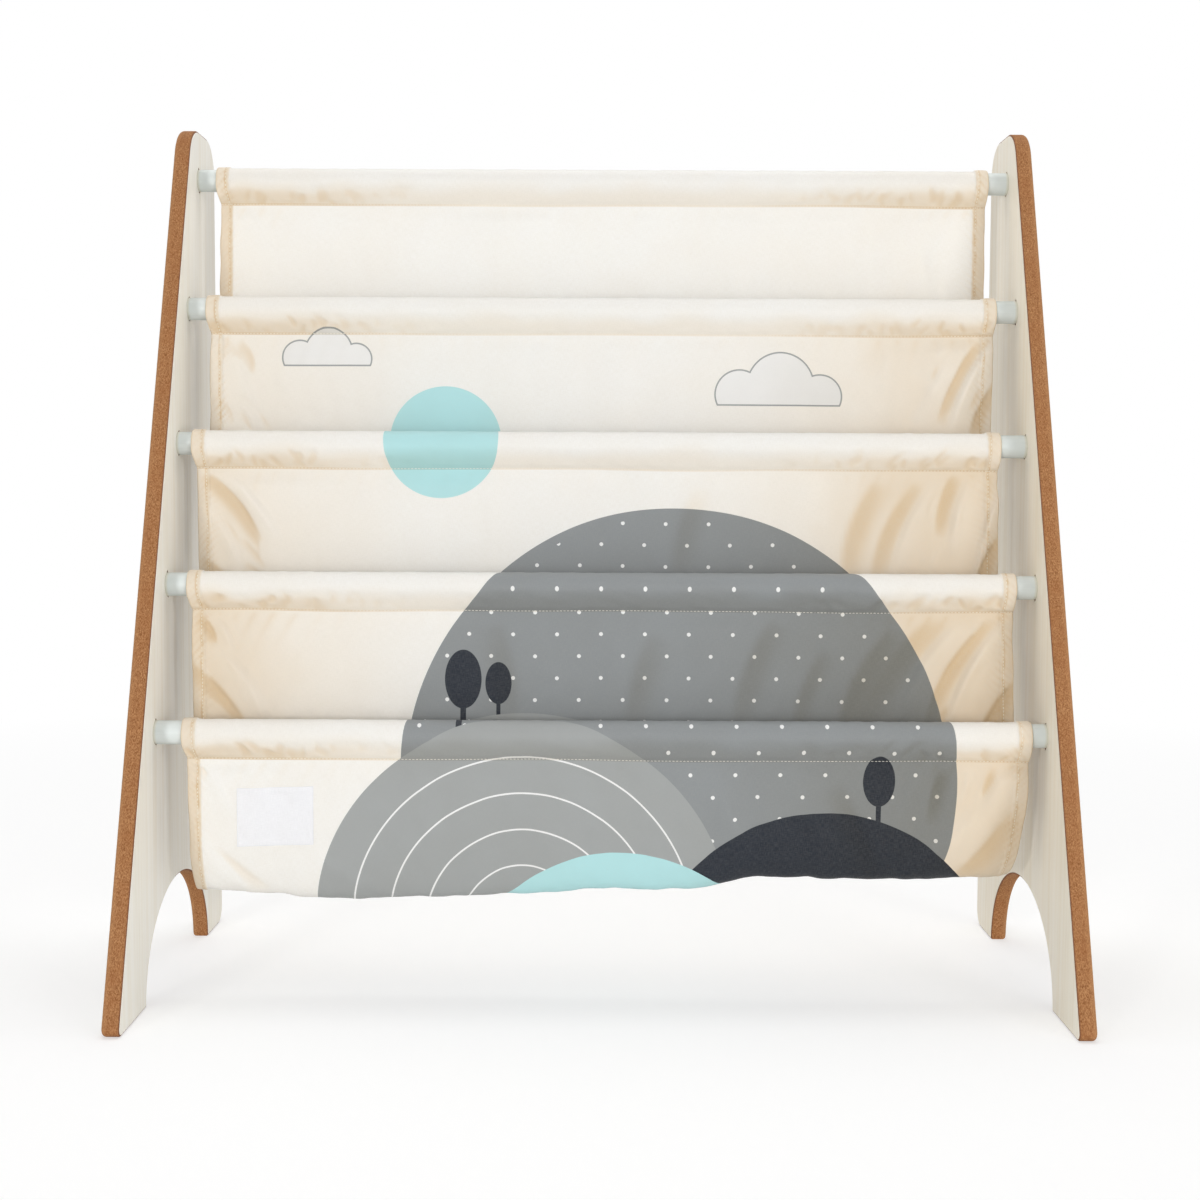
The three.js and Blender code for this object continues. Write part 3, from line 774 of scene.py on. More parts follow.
casing_height = 0.027
casing_radius = rod_radius + ply_gap + ply / 2
seam_drop = casing_height - casing_radius - ply / 2
seam_half = ply_spacing / 2
seam_stitch = 0.0011  # from the casing's lower edge
seam_ease = 0.005
casing_rows = 59
back_ghost = 0.10  # how much of the print shows through on the other face
crease_shade = 0.19  # how much warm shade is painted in a deep crease
deep_crease = 0.0009
casing_swell = 0.0010  # how far the loose skirts stand out, most near the side edges
casing_slack = 0.0002  # how far the cloth stands out everywhere between rod and seam
casing_wave, casing_wave_length = 0.0003, 0.03
fine_wave, fine_wave_length = 0.00016, 0.012
casing_hold = 0.003  # from the seam, over which it holds the cloth flat
casing_pucker = 0.0006
casing_pucker_shape = (0.0085, 0.006, 0.8)  # length, reach and slant
seam_wander, seam_wander_length = 0.0005, 0.16
seam_line_width = 0.0006
hem_line_width, hem_edge_width = 0.0007, 0.0009
hem_line_wander, hem_line_wander_length = 0.0004, 0.03
hem_wrinkle_shape = (0.0052, 0.0040, 0.8)  # length, reach and slant
hem_line_shades = (0.50, 0.12, 0.26)  # painted shade of the stitched line, the folded edge and the wrinkles
print_start = (0.34, 0.38)  # of the way round from the rear seam, where the print begins
casing_crease_ranges = (  # from the side edge, above the seam, length, lean, width and depth
    (0.004, 0.150), (-0.002, 0.008), (0.006, 0.013), (-1.3, 0.7), (0.0017, 0.0036), (0.0005, 0.0014))
creases_a_side = 20

seam_away = math.hypot(seam_half, seam_drop)
touch_angle = math.atan2(-seam_drop, seam_half) + math.acos(casing_radius / seam_away)
skirt_length = math.sqrt(seam_away**2 - casing_radius**2)
front_half = skirt_length + casing_radius * (math.pi / 2 - touch_angle)
casing_length = 2 * front_half


def seam_wave(x, number):
    """How the seam wanders up and down."""
    return seam_wander * waves(x, 0 * x, seam_wander_length, 300 + number)


casing_creases = {}
for number in range(1, 6):
    for face in (-1, 1):
        casing_creases[number, face] = [
            fold for side in sides.values() for fold in small_creases(
                600 + 10 * number + 3 * side + face, creases_a_side, side, *casing_crease_ranges)]


def casing_point(number, across, along):
    """A point of the cloth round a rod, the outward direction there, and how far its creases fall
    in. Along runs from 0 at the rear seam to 1 at the front seam: a straight skirt up to where it
    touches the rod, the arc over the rod, and the same skirt down again. The skirt's last stretch
    is eased to hang plumb."""
    rod_y, rod_z = rod_centres[number - 1]
    run = np.minimum(along, 1 - along) * casing_length
    side = np.where(along < 0.5, 1.0, -1.0)
    on_skirt = run < skirt_length
    angle = touch_angle + np.maximum(run - skirt_length, 0) / casing_radius
    share = np.clip(run / skirt_length, 0, 1)
    touch_y, touch_z = casing_radius * math.cos(touch_angle), casing_radius * math.sin(touch_angle)
    eased_in = np.clip(run / seam_ease, 0, 1)
    lean = np.where(run < seam_ease, seam_ease * (2 * eased_in**2 - eased_in**3), run) / skirt_length
    y = np.where(on_skirt, seam_half + (touch_y - seam_half) * lean, casing_radius * np.cos(angle))
    z = np.where(on_skirt, -seam_drop + (touch_z + seam_drop) * share, casing_radius * np.sin(angle))
    out_y = np.where(on_skirt, math.cos(touch_angle), np.cos(angle))
    out_z = np.where(on_skirt, math.sin(touch_angle) * smooth(run, 0, seam_ease), np.sin(angle))
    size = np.hypot(out_y, out_z)
    normal = np.stack([0 * y, side * out_y / size, out_z / size], -1)
    near_seam = 1 - smooth(run, 0, skirt_length)
    x = casing_shifts[number - 1] + (2 * across - 1) * sling_half_width
    x = x + drawn_in(across, left_draw_in, right_draw_in) * near_seam
    z = z + seam_wave(x, number) * near_seam
    point = np.stack([x, rod_y + side * y, rod_z + z], -1)
    off_seam = smooth(run, 0, casing_hold)
    slack = np.sin(math.pi * np.clip(run / (skirt_length * 1.3), 0, 1))
    ends = 0.35 + 1.25 * near_edge(across)
    loose = casing_wave * waves(x, run * side, casing_wave_length, 50 + number, 0.6)
    small = fine_wave * waves(x, run * side, fine_wave_length, 60 + number)
    swell = slack * (casing_slack + ends * (casing_swell + loose)) + small * off_seam
    fallen = casing_pucker * (ends - 0.2) * pucker(x, run, *casing_pucker_shape, 45 + number)
    for face in (-1, 1):
        for fold in casing_creases[number, face]:
            fallen = fallen + crease(x, run, *fold) * (side == face)
    fallen = fallen * off_seam
    lift = np.maximum(swell - fallen, -0.0001)
    return point + normal * lift[..., None], normal, fallen


def casing_layers(number, across, along):
    """The outer and the inner face of a casing, with the hems' second ply on the outside."""
    point, normal, _ = casing_point(number, across, along)
    run = np.minimum(along, 1 - along) * casing_length
    dips = stitch_groove(run - seam_stitch, across * sling_width)
    dips = dips + stitch_groove(from_edge(across) - hem_stitch, along * casing_length)
    outside = ply / 2 + hem_ply(across) - dips
    return point + normal * outside[..., None], point - normal * (ply / 2)


def hem_line_shade(across, along, seed):
    """Painted shade along a hem: the broken, wandering line that the puckered hem stitches draw,
    with short wrinkles that cross it, and the darker folded edge."""
    wander = hem_line_wander * waves(along, 0 * along, hem_line_wander_length, seed)
    from_line = from_edge(across) - hem_stitch - wander
    broken = 0.60 + 0.40 * waves(along, across, 0.008, seed + 10)
    line = np.exp(-((from_line / hem_line_width) ** 2)) * broken
    folded = np.exp(-((from_edge(across) / hem_edge_width) ** 2))
    wrinkles = pucker(along, from_line, *hem_wrinkle_shape, seed + 20)
    of_line, of_folded, of_wrinkles = hem_line_shades
    return of_line * line + of_folded * folded + of_wrinkles * wrinkles


def casing_warm_shade(number, across, along):
    """How much warm shade is painted on a casing's cloth: more on its skirts and towards the sides,
    where the creases fall in, in the hems and along the stitches."""
    run = np.minimum(along, 1 - along) * casing_length
    ragged = 1 + 0.12 * waves((across - 0.5) * sling_width, run, 0.045, 160 + number)
    on_skirt = smooth(run, skirt_length * 1.32 * ragged, skirt_length * 0.42 * ragged)
    wide = smooth(np.abs(across - 0.5), 0.15, 0.5)
    fallen = casing_point(number, across, along)[2]
    # painted shade in the creases
    creased = crease_shade * np.tanh(fallen / deep_crease) * (0.2 + 0.8 * wide)
    # painted shade along the seam's stitches
    seam_stitch_shade = (0.14 + 0.36 * wide) * np.exp(-(((run - seam_stitch) / seam_line_width) ** 2))
    warm_shade = 0.05 + on_skirt * (0.27 + 0.13 * wide) + 0.11 * wide
    warm_shade = warm_shade + creased * np.where(along < 0.5, 0.4, 1)
    warm_shade = np.maximum(warm_shade, 0.50 * hem_share(across)) + seam_stitch_shade
    return warm_shade + hem_line_shade(across, along * casing_length, 170 + number)


for number in range(1, 6):
    across, along = np.meshgrid(share_across, spread(casing_rows), indexing="ij")
    outer, inner = casing_layers(number, across, along)
    flat_x, flat_s = (across - 0.5) * sling_width, along * casing_length
    up_front = (1 - along) * casing_length * casing_height / front_half
    on_picture = rod_centres[number - 1][1] - seam_drop + up_front
    shift = casing_shifts[number - 1]
    printed = smooth(along, *print_start)
    casing = cloth_sheet(
        f"casing_cloth_{number}", outer, inner, (flat_x, flat_s), (flat_x + shift, on_picture),
        (printed, back_ghost * printed), casing_warm_shade(number, across, along), cloth_material)
    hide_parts(f"sling_casing_{number}")

# Pockets. Between two casings the cloth hangs in a catenary, deep on its rear wall and shallower
# in front. It is drawn into slanting folds at the right, and its hems pucker and curl in.

pocket_drop = 0.112
shown_rows, hidden_rows, front_rows = 74, 22, 58
shown_share = 0.54  # of each rear wall, from its seam down
hidden_print = 0.012  # how far the rear walls' print runs on below the seam in front of them
front_lift = ((0.0035, 0.40, 0.52), (0.0105, 0.585, 0.70))  # height, and from where to where
rear_wall_shades = ((0.08, 0.10), (0.34, 0.46), (0.46, 0.58), (0.58, 0.62))  # painted warm shade of each rear wall, left and right
fold_valley_shade = 0.36  # how much warm shade is painted in the valleys between folds
deep_fold = 0.0012
ridge_share = 0.10  # of that shade, taken off on the ridges as a slight painted highlight
hem_shades = (0.56, 0.44, 0.50, 0.54)  # painted warm shade of each pocket's side hems
rear_slack = 0.0010  # how far the loose rear walls stand into their pockets
left_gather = 0.0035  # how much further each side edge is drawn in at the lowest fold
right_gather, front_gather = 0.003, 0.009
fold_wander = 0.0012  # how far the lowest fold wanders up and down
fold_wander_length = 0.30  # of the sling's width
hem_curl = 0.0018  # how far the hems curl into the pocket
curl_start = (0.01, 0.05)  # below the seam, from where to where the curl grows
curl_wave_length = 0.07
hem_reach = 0.006  # from the side edge, over which it curls and wanders
edge_wander, edge_wander_length = 0.0003, 0.030
edge_hold, seam_hold, pucker_hold = 0.010, 0.012, 0.004  # below the seam, over which it holds the cloth
hem_pucker, seam_pucker, pucker_fullness = 0.0011, 0.0009, 0.0006
hem_pucker_shape = (0.0056, 0.0055, 0.9)  # length, reach and slant
seam_pucker_shape = (0.013, 0.010, 0.35)
cloth_waves = (  # depth, length, seed and stretch along the wall
    (0.0012, 0.13, 100, 1.8),
    (0.0007, 0.05, 110, 2.2),
    (0.00035, 0.022, 115, 5.0),
    (0.00016, 0.012, 140, 1.4),
)
pocket_crease_ranges = (  # from the side edge, below the seam, length, lean, width and depth
    (0.006, 0.050), (0.0, 0.080), (0.010, 0.026), (0.1, 0.9), (0.0022, 0.0042), (-0.0009, 0.0006))
ply_room = 0.0001  # free between two neighbouring plies at their seam, for each of them
ply_room_gain = 0.03  # how much that room grows for each length below the seam
rear_folds = {  # start and end as (x, depth below the seam), width, depth and bow
    1: [((0.262, 0.002), (0.240, 0.050), 0.009, 0.0012, 0.003),
        ((-0.262, 0.004), (-0.235, 0.060), 0.012, 0.0012, -0.003),
        ((0.030, 0.000), (0.022, 0.070), 0.010, 0.0006, 0.0),
        ((-0.100, 0.000), (-0.106, 0.060), 0.012, 0.0006, 0.0)],
    2: [((0.279, 0.004), (0.250, 0.070), 0.0050, 0.0032, 0.004),
        ((0.270, 0.002), (0.240, 0.066), 0.0042, -0.0026, 0.003),
        ((0.256, 0.010), (0.222, 0.074), 0.0085, 0.0018, 0.004),
        ((0.280, 0.036), (0.265, 0.074), 0.0042, -0.0022, 0.002),
        ((0.262, 0.000), (0.259, 0.014), 0.0030, 0.0011, 0.0),
        ((0.244, 0.000), (0.240, 0.017), 0.0036, 0.0011, 0.0),
        ((0.206, 0.000), (0.202, 0.030), 0.0060, 0.0010, 0.0),
        ((0.120, 0.000), (0.104, 0.055), 0.0110, 0.0012, 0.002),
        ((-0.262, 0.000), (-0.250, 0.030), 0.0050, -0.0006, -0.002),
        ((-0.262, 0.020), (-0.246, 0.070), 0.0090, 0.0014, -0.002)],
    3: [((0.280, 0.010), (0.262, 0.080), 0.0045, 0.0030, 0.003),
        ((0.276, 0.048), (0.262, 0.088), 0.0046, -0.0026, 0.002),
        ((0.247, 0.000), (0.236, 0.046), 0.0050, -0.0022, 0.003),
        ((0.258, 0.004), (0.246, 0.060), 0.0065, 0.0026, 0.003),
        ((0.232, 0.010), (0.205, 0.080), 0.0080, 0.0026, 0.005),
        ((0.218, 0.012), (0.190, 0.080), 0.0070, -0.0016, 0.005),
        ((0.266, 0.000), (0.262, 0.013), 0.0030, 0.0012, 0.0),
        ((0.150, 0.000), (0.120, 0.070), 0.0130, 0.0016, 0.003),
        ((0.190, 0.012), (0.170, 0.078), 0.0085, -0.0018, 0.004),
        ((0.066, 0.016), (0.052, 0.080), 0.0100, -0.0012, 0.003),
        ((-0.276, 0.004), (-0.238, 0.052), 0.0052, -0.0032, -0.004),
        ((-0.264, 0.002), (-0.222, 0.056), 0.0060, 0.0024, -0.004),
        ((-0.280, 0.020), (-0.252, 0.072), 0.0060, 0.0020, -0.003),
        ((-0.278, 0.064), (-0.258, 0.084), 0.0045, -0.0014, -0.001)],
    4: [((0.272, 0.010), (0.236, 0.082), 0.0060, 0.0034, 0.005),
        ((0.262, 0.008), (0.222, 0.076), 0.0052, -0.0026, 0.005),
        ((0.246, 0.006), (0.204, 0.076), 0.0085, 0.0026, 0.006),
        ((0.280, 0.050), (0.256, 0.098), 0.0050, -0.0026, 0.003),
        ((0.228, 0.004), (0.176, 0.082), 0.0100, -0.0016, 0.006),
        ((0.258, 0.000), (0.253, 0.016), 0.0034, 0.0012, 0.0),
        ((0.196, 0.016), (0.164, 0.082), 0.0090, -0.0026, 0.004),
        ((0.150, 0.030), (0.132, 0.084), 0.0070, -0.0016, 0.002),
        ((0.116, 0.010), (0.092, 0.080), 0.0095, -0.0020, 0.003),
        ((0.034, 0.020), (0.020, 0.082), 0.0100, -0.0014, 0.002),
        ((-0.070, 0.012), (-0.060, 0.080), 0.0110, -0.0012, -0.002),
        ((-0.272, 0.004), (-0.262, 0.024), 0.0034, -0.0020, -0.001),
        ((-0.264, 0.002), (-0.250, 0.030), 0.0040, 0.0018, -0.002),
        ((-0.262, 0.026), (-0.226, 0.078), 0.0080, 0.0026, -0.004),
        ((-0.276, 0.040), (-0.238, 0.090), 0.0060, -0.0020, -0.003)],
}
front_folds = [
    ((0.272, 0.006), (0.200, 0.084), 0.0130, 0.0036, -0.005),
    ((0.262, 0.002), (0.250, 0.040), 0.0048, -0.0020, 0.0),
    ((0.246, 0.000), (0.240, 0.034), 0.0040, 0.0018, 0.0),
    ((0.228, 0.002), (0.220, 0.044), 0.0052, -0.0018, 0.001),
    ((0.210, 0.000), (0.200, 0.040), 0.0060, 0.0016, 0.0),
    ((0.272, 0.036), (0.236, 0.084), 0.0080, -0.0018, -0.003),
    ((0.160, 0.020), (0.190, 0.088), 0.0100, -0.0014, 0.0),
    ((0.070, 0.004), (0.105, 0.075), 0.0130, 0.0020, 0.0),
    ((0.128, 0.000), (0.140, 0.046), 0.0080, 0.0014, 0.0),
    ((-0.020, 0.002), (0.004, 0.060), 0.0130, 0.0014, 0.0),
    ((-0.120, 0.004), (-0.105, 0.060), 0.0140, 0.0010, 0.0),
    ((-0.268, 0.000), (-0.262, 0.014), 0.0030, -0.0022, 0.0),
    ((-0.262, 0.002), (-0.246, 0.040), 0.0055, 0.0018, 0.0),
    ((-0.272, 0.050), (-0.238, 0.090), 0.0070, 0.0018, 0.0),
    ((-0.262, 0.060), (-0.222, 0.092), 0.0060, -0.0014, 0.0),
    ((-0.190, 0.066), (-0.150, 0.088), 0.0080, 0.0010, 0.0),
]


for number in (2, 3, 4):
    for side in sides.values():
        rear_folds[number] += small_creases(500 + 10 * number + side, 10, side, *pocket_crease_ranges)


def catenary_radius(span, rear_rise, front_rise):
    """The bend radius at the lowest point of a chain that hangs over the span between two ends at
    those heights above it, found by halving the range that it lies in."""
    low, high = 0 * rear_rise, 0 * rear_rise + span
    for _ in range(50):
        middle = (low + high) / 2
        reached = middle * (np.arccosh(1 + rear_rise / middle) + np.arccosh(1 + front_rise / middle))
        low, high = np.where(reached < span, middle, low), np.where(reached < span, high, middle)
    return (low + high) / 2


def pocket_curve(number, across):
    """The hanging curve at a place across the sling: its bend radius, the Y and Z of its lowest
    point, and the lengths of its rear and front walls. The front pocket's right half is lifted."""
    (rear_y, rear_z), (front_y, front_z) = rod_centres[number - 1], rod_centres[number]
    front = number == 4
    lift = sum(height * smooth(across, start, end) for height, start, end in front_lift) if front else 0.0
    uneven = fold_wander * waves(across, 0 * across, fold_wander_length, 80 + number)
    bottom = front_z - pocket_drop + lift + uneven
    x = (across - 0.5) * sling_width
    rear_rise = rear_z - seam_drop + seam_wave(x, number) - bottom
    front_rise = front_z - seam_drop + seam_wave(x, number + 1) - bottom
    front_end = front_y + (-seam_half if front else seam_half)
    radius = catenary_radius(rear_y - seam_half - front_end, rear_rise, front_rise)
    lowest_y = front_end + radius * np.arccosh(1 + front_rise / radius)
    lengths = [np.sqrt(rise * (rise + 2 * radius)) for rise in (rear_rise, front_rise)]
    return radius, lowest_y, bottom, *lengths


def pocket_shift(number, frontness):
    """How far a pocket lies to the side, in even steps from its rear casing to its front one."""
    return casing_shifts[number - 1] * (1 - frontness) + casing_shifts[number] * frontness


def main_folds(number, x, below_seam, way):
    """How far the folds of both walls move the cloth into the pocket."""
    folds = sum(crease(x, below_seam, *fold) for fold in rear_folds[number]) * (way < 0)
    if number == 4:
        folds = folds - sum(crease(x, below_seam, *fold) for fold in front_folds) * (way > 0)
    return folds


def soft_waves(number, across, x, hang):
    """The sum of the cloth's waves, the two longest of them deeper near the side edges."""
    longest, long, streaks, fine = (
        depth * waves(x, hang, length, seed + number, stretch)
        for depth, length, seed, stretch in cloth_waves)
    return (longest + long) * (0.7 + 0.6 * near_edge(across)) + streaks + fine


def puckered(number, across, x, hang, below_seam):
    """How deep the puckers along the hem and below the seam are, and how far the cloth between
    them stands out."""
    from_line = from_edge(across) - hem_stitch
    off_seam = smooth(below_seam, 0.0, pucker_hold)
    at_hem = pucker(hang, from_line, *hem_pucker_shape, 120 + number)
    at_seam = pucker(x, below_seam, *seam_pucker_shape, 130 + number)
    depth = hem_pucker * at_hem + seam_pucker * (0.25 + 1.5 * near_edge(across)) * at_seam
    beside_line = np.exp(-np.abs(from_line) / hem_pucker_shape[1])
    fullness = pucker_fullness * (beside_line + near_edge(across))
    return off_seam * depth, off_seam * fullness


def pocket_point(number, across, way):
    """A point of a pocket's cloth, the direction into the pocket there, and how far its creases
    stand out towards the room. Way runs from -1 at the rear seam over 0 at the lowest fold to
    1 at the front seam, as a share of each wall. Where another pocket hangs behind or before the
    wall, a move towards it is held to the room there by a hyperbolic tangent."""
    radius, lowest_y, bottom, rear_length, front_length = pocket_curve(number, across)
    hang = np.where(way < 0, way * rear_length, way * front_length)
    bend = np.hypot(radius, hang)
    y = lowest_y - radius * np.arcsinh(hang / radius)
    z = bottom + bend - radius
    normal = np.stack([0 * y, hang / bend, radius / bend], -1)
    reach = np.abs(way)
    below_seam = np.where(way < 0, rear_length + hang, front_length - hang)
    shift = pocket_shift(number, (hang + rear_length) / (rear_length + front_length))
    front = number == 4
    left = left_draw_in + left_gather * (1 - reach) ** 4
    right = right_draw_in + (front_gather if front else right_gather) * (1 - reach) ** 3
    x = shift + (2 * across - 1) * sling_half_width + drawn_in(across, left, right)
    edge = from_edge(across)
    uneven = edge_wander * waves(0 * hang + across, hang, edge_wander_length, 70 + number)
    x = x + uneven * np.exp(-edge / hem_reach) * smooth(below_seam, 0.0, edge_hold)
    held = smooth(below_seam, 0.0, seam_hold)
    folds = main_folds(number, x, below_seam, way)
    slack = np.where(way < 0, rear_slack, 0.0)
    moved = held * (folds + slack + soft_waves(number, across, x, hang))
    puckers, fullness = puckered(number, across, x, hang, below_seam)
    outwards = np.where(way < 0, 1.0, -1.0)
    relief = outwards * held * folds - puckers
    moved = moved + outwards * (fullness - puckers)
    curl = hem_curl * np.exp(-edge / hem_reach) * smooth(below_seam, *curl_start)
    curl = curl * np.where(way < 0, 1.0, 0.5)
    moved = moved + curl * (0.6 + 0.4 * waves(x, hang, curl_wave_length, 150 + number))
    room = ply_room + ply_room_gain * below_seam
    alone = ((way < 0) & (number == 1)) | ((way > 0) & front)
    moved = np.where((moved < 0) & ~alone, -room * np.tanh(-moved / room), moved)
    return np.stack([x, y, z], -1) + normal * moved[..., None], normal, relief


def pocket_layers(number, across, way):
    """The inner and the outer face of a pocket. The hems are turned to the pocket's inside, and on
    the front pocket's front wall to its outside, where its shown face is."""
    point, normal, _ = pocket_point(number, across, way)
    outwards = smooth(way, -0.02, 0.05) if number == 4 else 0 * way
    rear_length, front_length = pocket_curve(number, across)[3:]
    dips = stitch_groove(
        from_edge(across) - hem_stitch, way * np.where(way < 0, rear_length, front_length))
    inside = ply / 2 + hem_ply(across) * (1 - outwards) - dips * (1 - outwards)
    outside = ply / 2 + hem_ply(across) * outwards - dips * outwards
    return point + normal * inside[..., None], point - normal * outside[..., None]


def pocket_layers_from_outside(number, across, way):
    """The same two faces, with the outer one first."""
    return pocket_layers(number, across, way)[::-1]


def pocket_warm_shade(number, across, way, flat_s):
    """How much warm shade is painted on a pocket's cloth: more towards its sides, most in the valleys
    between folds, in the hems and along their stitches, and less on the ridges as painted highlight."""
    wide = smooth(np.abs(across - 0.45), 0.12, 0.5)
    left, right = rear_wall_shades[number - 1]
    at_sides = left + (right - left) * smooth(across, 0.3, 0.7)
    warm_shade = 0.02 + at_sides * (0.12 + 0.88 * wide)
    if number == 4:
        # the front wall: painted shade growing towards its right side
        warm_shade = np.where(way < 0, warm_shade, 0.06 + 0.54 * smooth(across, 0.55, 0.95))
    relief = pocket_point(number, across, way)[2]
    # painted shade in the valleys, and a slight painted highlight on the ridges
    valley = fold_valley_shade * np.tanh(relief / deep_fold) * np.where(relief < 0, 1.0, ridge_share)
    warm_shade = warm_shade - valley
    warm_shade = np.maximum(warm_shade, hem_shades[number - 1] * hem_share(across))
    return warm_shade + hem_line_shade(across, flat_s, 180 + number)


shown_steps = np.linspace(-1, shown_share - 1, shown_rows)
hidden_steps = np.linspace(shown_share - 1, 0, hidden_rows)[1:]
for number in range(1, 5):
    front_steps = spread(front_rows if number == 4 else front_rows // 2)[1:]
    steps_along = np.concatenate([shown_steps, hidden_steps, front_steps])
    across, way = np.meshgrid(share_across, steps_along, indexing="ij")
    inner, outer = pocket_layers(number, across, way)
    rear_length, front_length = pocket_curve(number, across)[3:]
    flat_x = (across - 0.5) * sling_width
    flat_s = np.where(way < 0, way * rear_length, way * front_length)
    shift = pocket_shift(number, (flat_s + rear_length) / (rear_length + front_length))
    upper_seam = rod_centres[number - 1][1] - seam_drop
    front_seam = rod_centres[number][1] - seam_drop
    on_picture = np.where(way < 0, upper_seam - rear_length - flat_s, front_seam - front_length + flat_s)
    lowest_print = front_seam - hidden_print
    on_rear = smooth(on_picture, lowest_print - 0.003, lowest_print) * (way < 0)
    on_front = smooth(way, -0.08, -0.02) if number == 4 else 0 * way
    pocket = cloth_sheet(
        f"pocket_cloth_{number}", inner, outer, (flat_x, flat_s), (flat_x + shift, on_picture),
        (np.maximum(on_rear, back_ghost * on_front), np.maximum(on_front, back_ghost * on_rear)),
        pocket_warm_shade(number, across, way, flat_s), cloth_material)
    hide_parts(f"sling_pocket_{number}")

# Stitching. Cream thread holds the casings' seams and the side hems: short stitches with a small
# gap between them, each sunk a little into the cloth.

thread_radius = 0.00022
stitch_rings = np.linspace(0, math.pi, 5)
stitch_turns = np.linspace(0, 2 * math.pi, 6, endpoint=False)


def thread_finish():
    """Spun thread: fine twisted lines along each stitch."""
    finish = Finish("cream_sewing_thread", Roughness=0.7, Specular_IOR_Level=0.3, Sheen_Weight=0.2)
    twist = finish.noise(finish.place(), 3000.0, 2.0)
    colour = finish.mix(finish.ramp(twist, 0.35, 0.65), paint(236, 228, 212), paint(248, 243, 232))
    return finish.dressed(colour, finish.bump(twist, 0.0001, 0.6))


def stitches(lines):
    """Points and faces of stitches along lines on a surface. A line is (middle, ahead, outward)
    arrays; a stitch is a spindle about its middle, half its length times a cosine along the line
    and its radius times a sine round it."""
    middle, ahead, outward = (np.concatenate(part) for part in zip(*lines))
    ahead = ahead / np.linalg.norm(ahead, axis=1, keepdims=True)
    beside = np.cross(outward, ahead)
    beside = beside / np.linalg.norm(beside, axis=1, keepdims=True)
    up = np.cross(ahead, beside)
    reach = stitch_length / 2 * np.cos(stitch_rings)[None, :, None, None]
    thick = thread_radius * np.sin(stitch_rings)[None, :, None, None] ** 0.6
    round_it = (np.cos(stitch_turns)[None, None, :, None] * beside[:, None, None, :]
                + np.sin(stitch_turns)[None, None, :, None] * up[:, None, None, :])
    points = middle[:, None, None, :] + reach * ahead[:, None, None, :] + thick * round_it
    rings, turns = len(stitch_rings), len(stitch_turns)
    one = ring_quads(0, rings, turns)
    starts = np.arange(len(middle)) * rings * turns
    return points.reshape(-1, 3), (starts[:, None, None] + one[None]).reshape(-1, 4)


def line_on(layers, number, across, place, step):
    """Where stitches lie on the first face that layers gives, with their direction and the
    direction outwards. Step is a small step of (across, place) along the line."""
    here, under = layers(number, across, place)
    ahead = layers(number, across + step[0], place + step[1])[0] - here
    return here, ahead, here - under


def stitch_places(length):
    """Evenly spaced middles of stitches along a length, as shares of it."""
    count = int(length / stitch_pitch)
    return (np.arange(count) + 0.5) / count


thread_material = thread_finish()
seam_lines, hem_lines = [], []
small_step = 1e-4  # ahead of each stitch, to find which way its line runs
wall_lengths = 0.194, 0.098  # of a pocket's rear and front walls, to count their stitches
for number in range(1, 6):
    across = stitch_places(sling_width)
    for place in (seam_stitch / casing_length, 1 - seam_stitch / casing_length):
        seam_lines.append(line_on(casing_layers, number, across, 0 * across + place, (small_step, 0.0)))
    along = stitch_places(casing_length)
    for edge in (hem_stitch / sling_width, 1 - hem_stitch / sling_width):
        hem_lines.append(line_on(casing_layers, number, 0 * along + edge, along, (0.0, small_step)))
for number in range(1, 5):
    for edge in (hem_stitch / sling_width, 1 - hem_stitch / sling_width):
        for way in (-stitch_places(wall_lengths[0]), stitch_places(wall_lengths[1])):
            for layers in (pocket_layers, pocket_layers_from_outside):
                hem_lines.append(line_on(layers, number, 0 * way + edge, way, (0.0, small_step)))
for name, lines in (("seam_stitching", seam_lines), ("hem_stitching", hem_lines)):
    points, faces = stitches(lines)
    solid_piece(name, points, faces.tolist(), thread_material)

# Label. A blank woven patch with turned edges, sewn flat on the outside of the front pocket by
# white stitches along its four sides. It climbs a little to the right.

label_width, label_height, label_ply = 0.052, 0.040, 0.0006
label_from_edge, label_from_seam = 0.034, 0.020
label_tilt = 0.045
label_hem = 0.0035
label_hem_step = 0.0005
label_rounding = (-0.0003, 0.0006)  # from its edge, from where to where the fold rounds off
label_stitch_inset = 0.0015
label_stitch_height = 0.0004  # above the pocket's face
label_gap = 0.00008  # between the label and the pocket where it is sewn
label_swell = 0.0003  # how far it stands out between its stitches
label_swell_full = 0.006  # from its edge, where it stands out in full
label_steps = 61, 49


def label_place(right, down):
    """A place on the label as a place on the front pocket: a share across and a share up its wall."""
    across = (label_from_edge + right) / sling_width
    front_length = pocket_curve(4, across)[4]
    return across, 1 - (label_from_seam + down - label_tilt * right) / front_length


def label_point(right, down, above):
    """A point that far above the front pocket's outer face."""
    outer, inner = pocket_layers_from_outside(4, *label_place(right, down))
    outward = (outer - inner) / np.linalg.norm(outer - inner, axis=-1, keepdims=True)
    return outer + outward * np.asarray(above)[..., None], outward


def label_finish():
    """Damask weave: fine ribs across the label, and a slight sheen along them."""
    finish = Finish("white_woven_label", Roughness=0.62, Specular_IOR_Level=0.35, Sheen_Weight=0.15)
    place = finish.node("UVMap", uv_map="cloth").outputs[0]
    ribs = finish.noise(finish.stretched(place, (260.0, 3200.0, 1.0)), 1.0, 2.0)
    warp = finish.noise(finish.stretched(place, (3200.0, 200.0, 1.0)), 1.0, 2.0)
    woven = finish.math("MULTIPLY", ribs, warp)
    colour = finish.mix(finish.ramp(woven, 0.15, 0.36), paint(230, 230, 233), paint(237, 237, 240))
    return finish.dressed(colour, finish.bump(woven, 0.00005, 0.4))


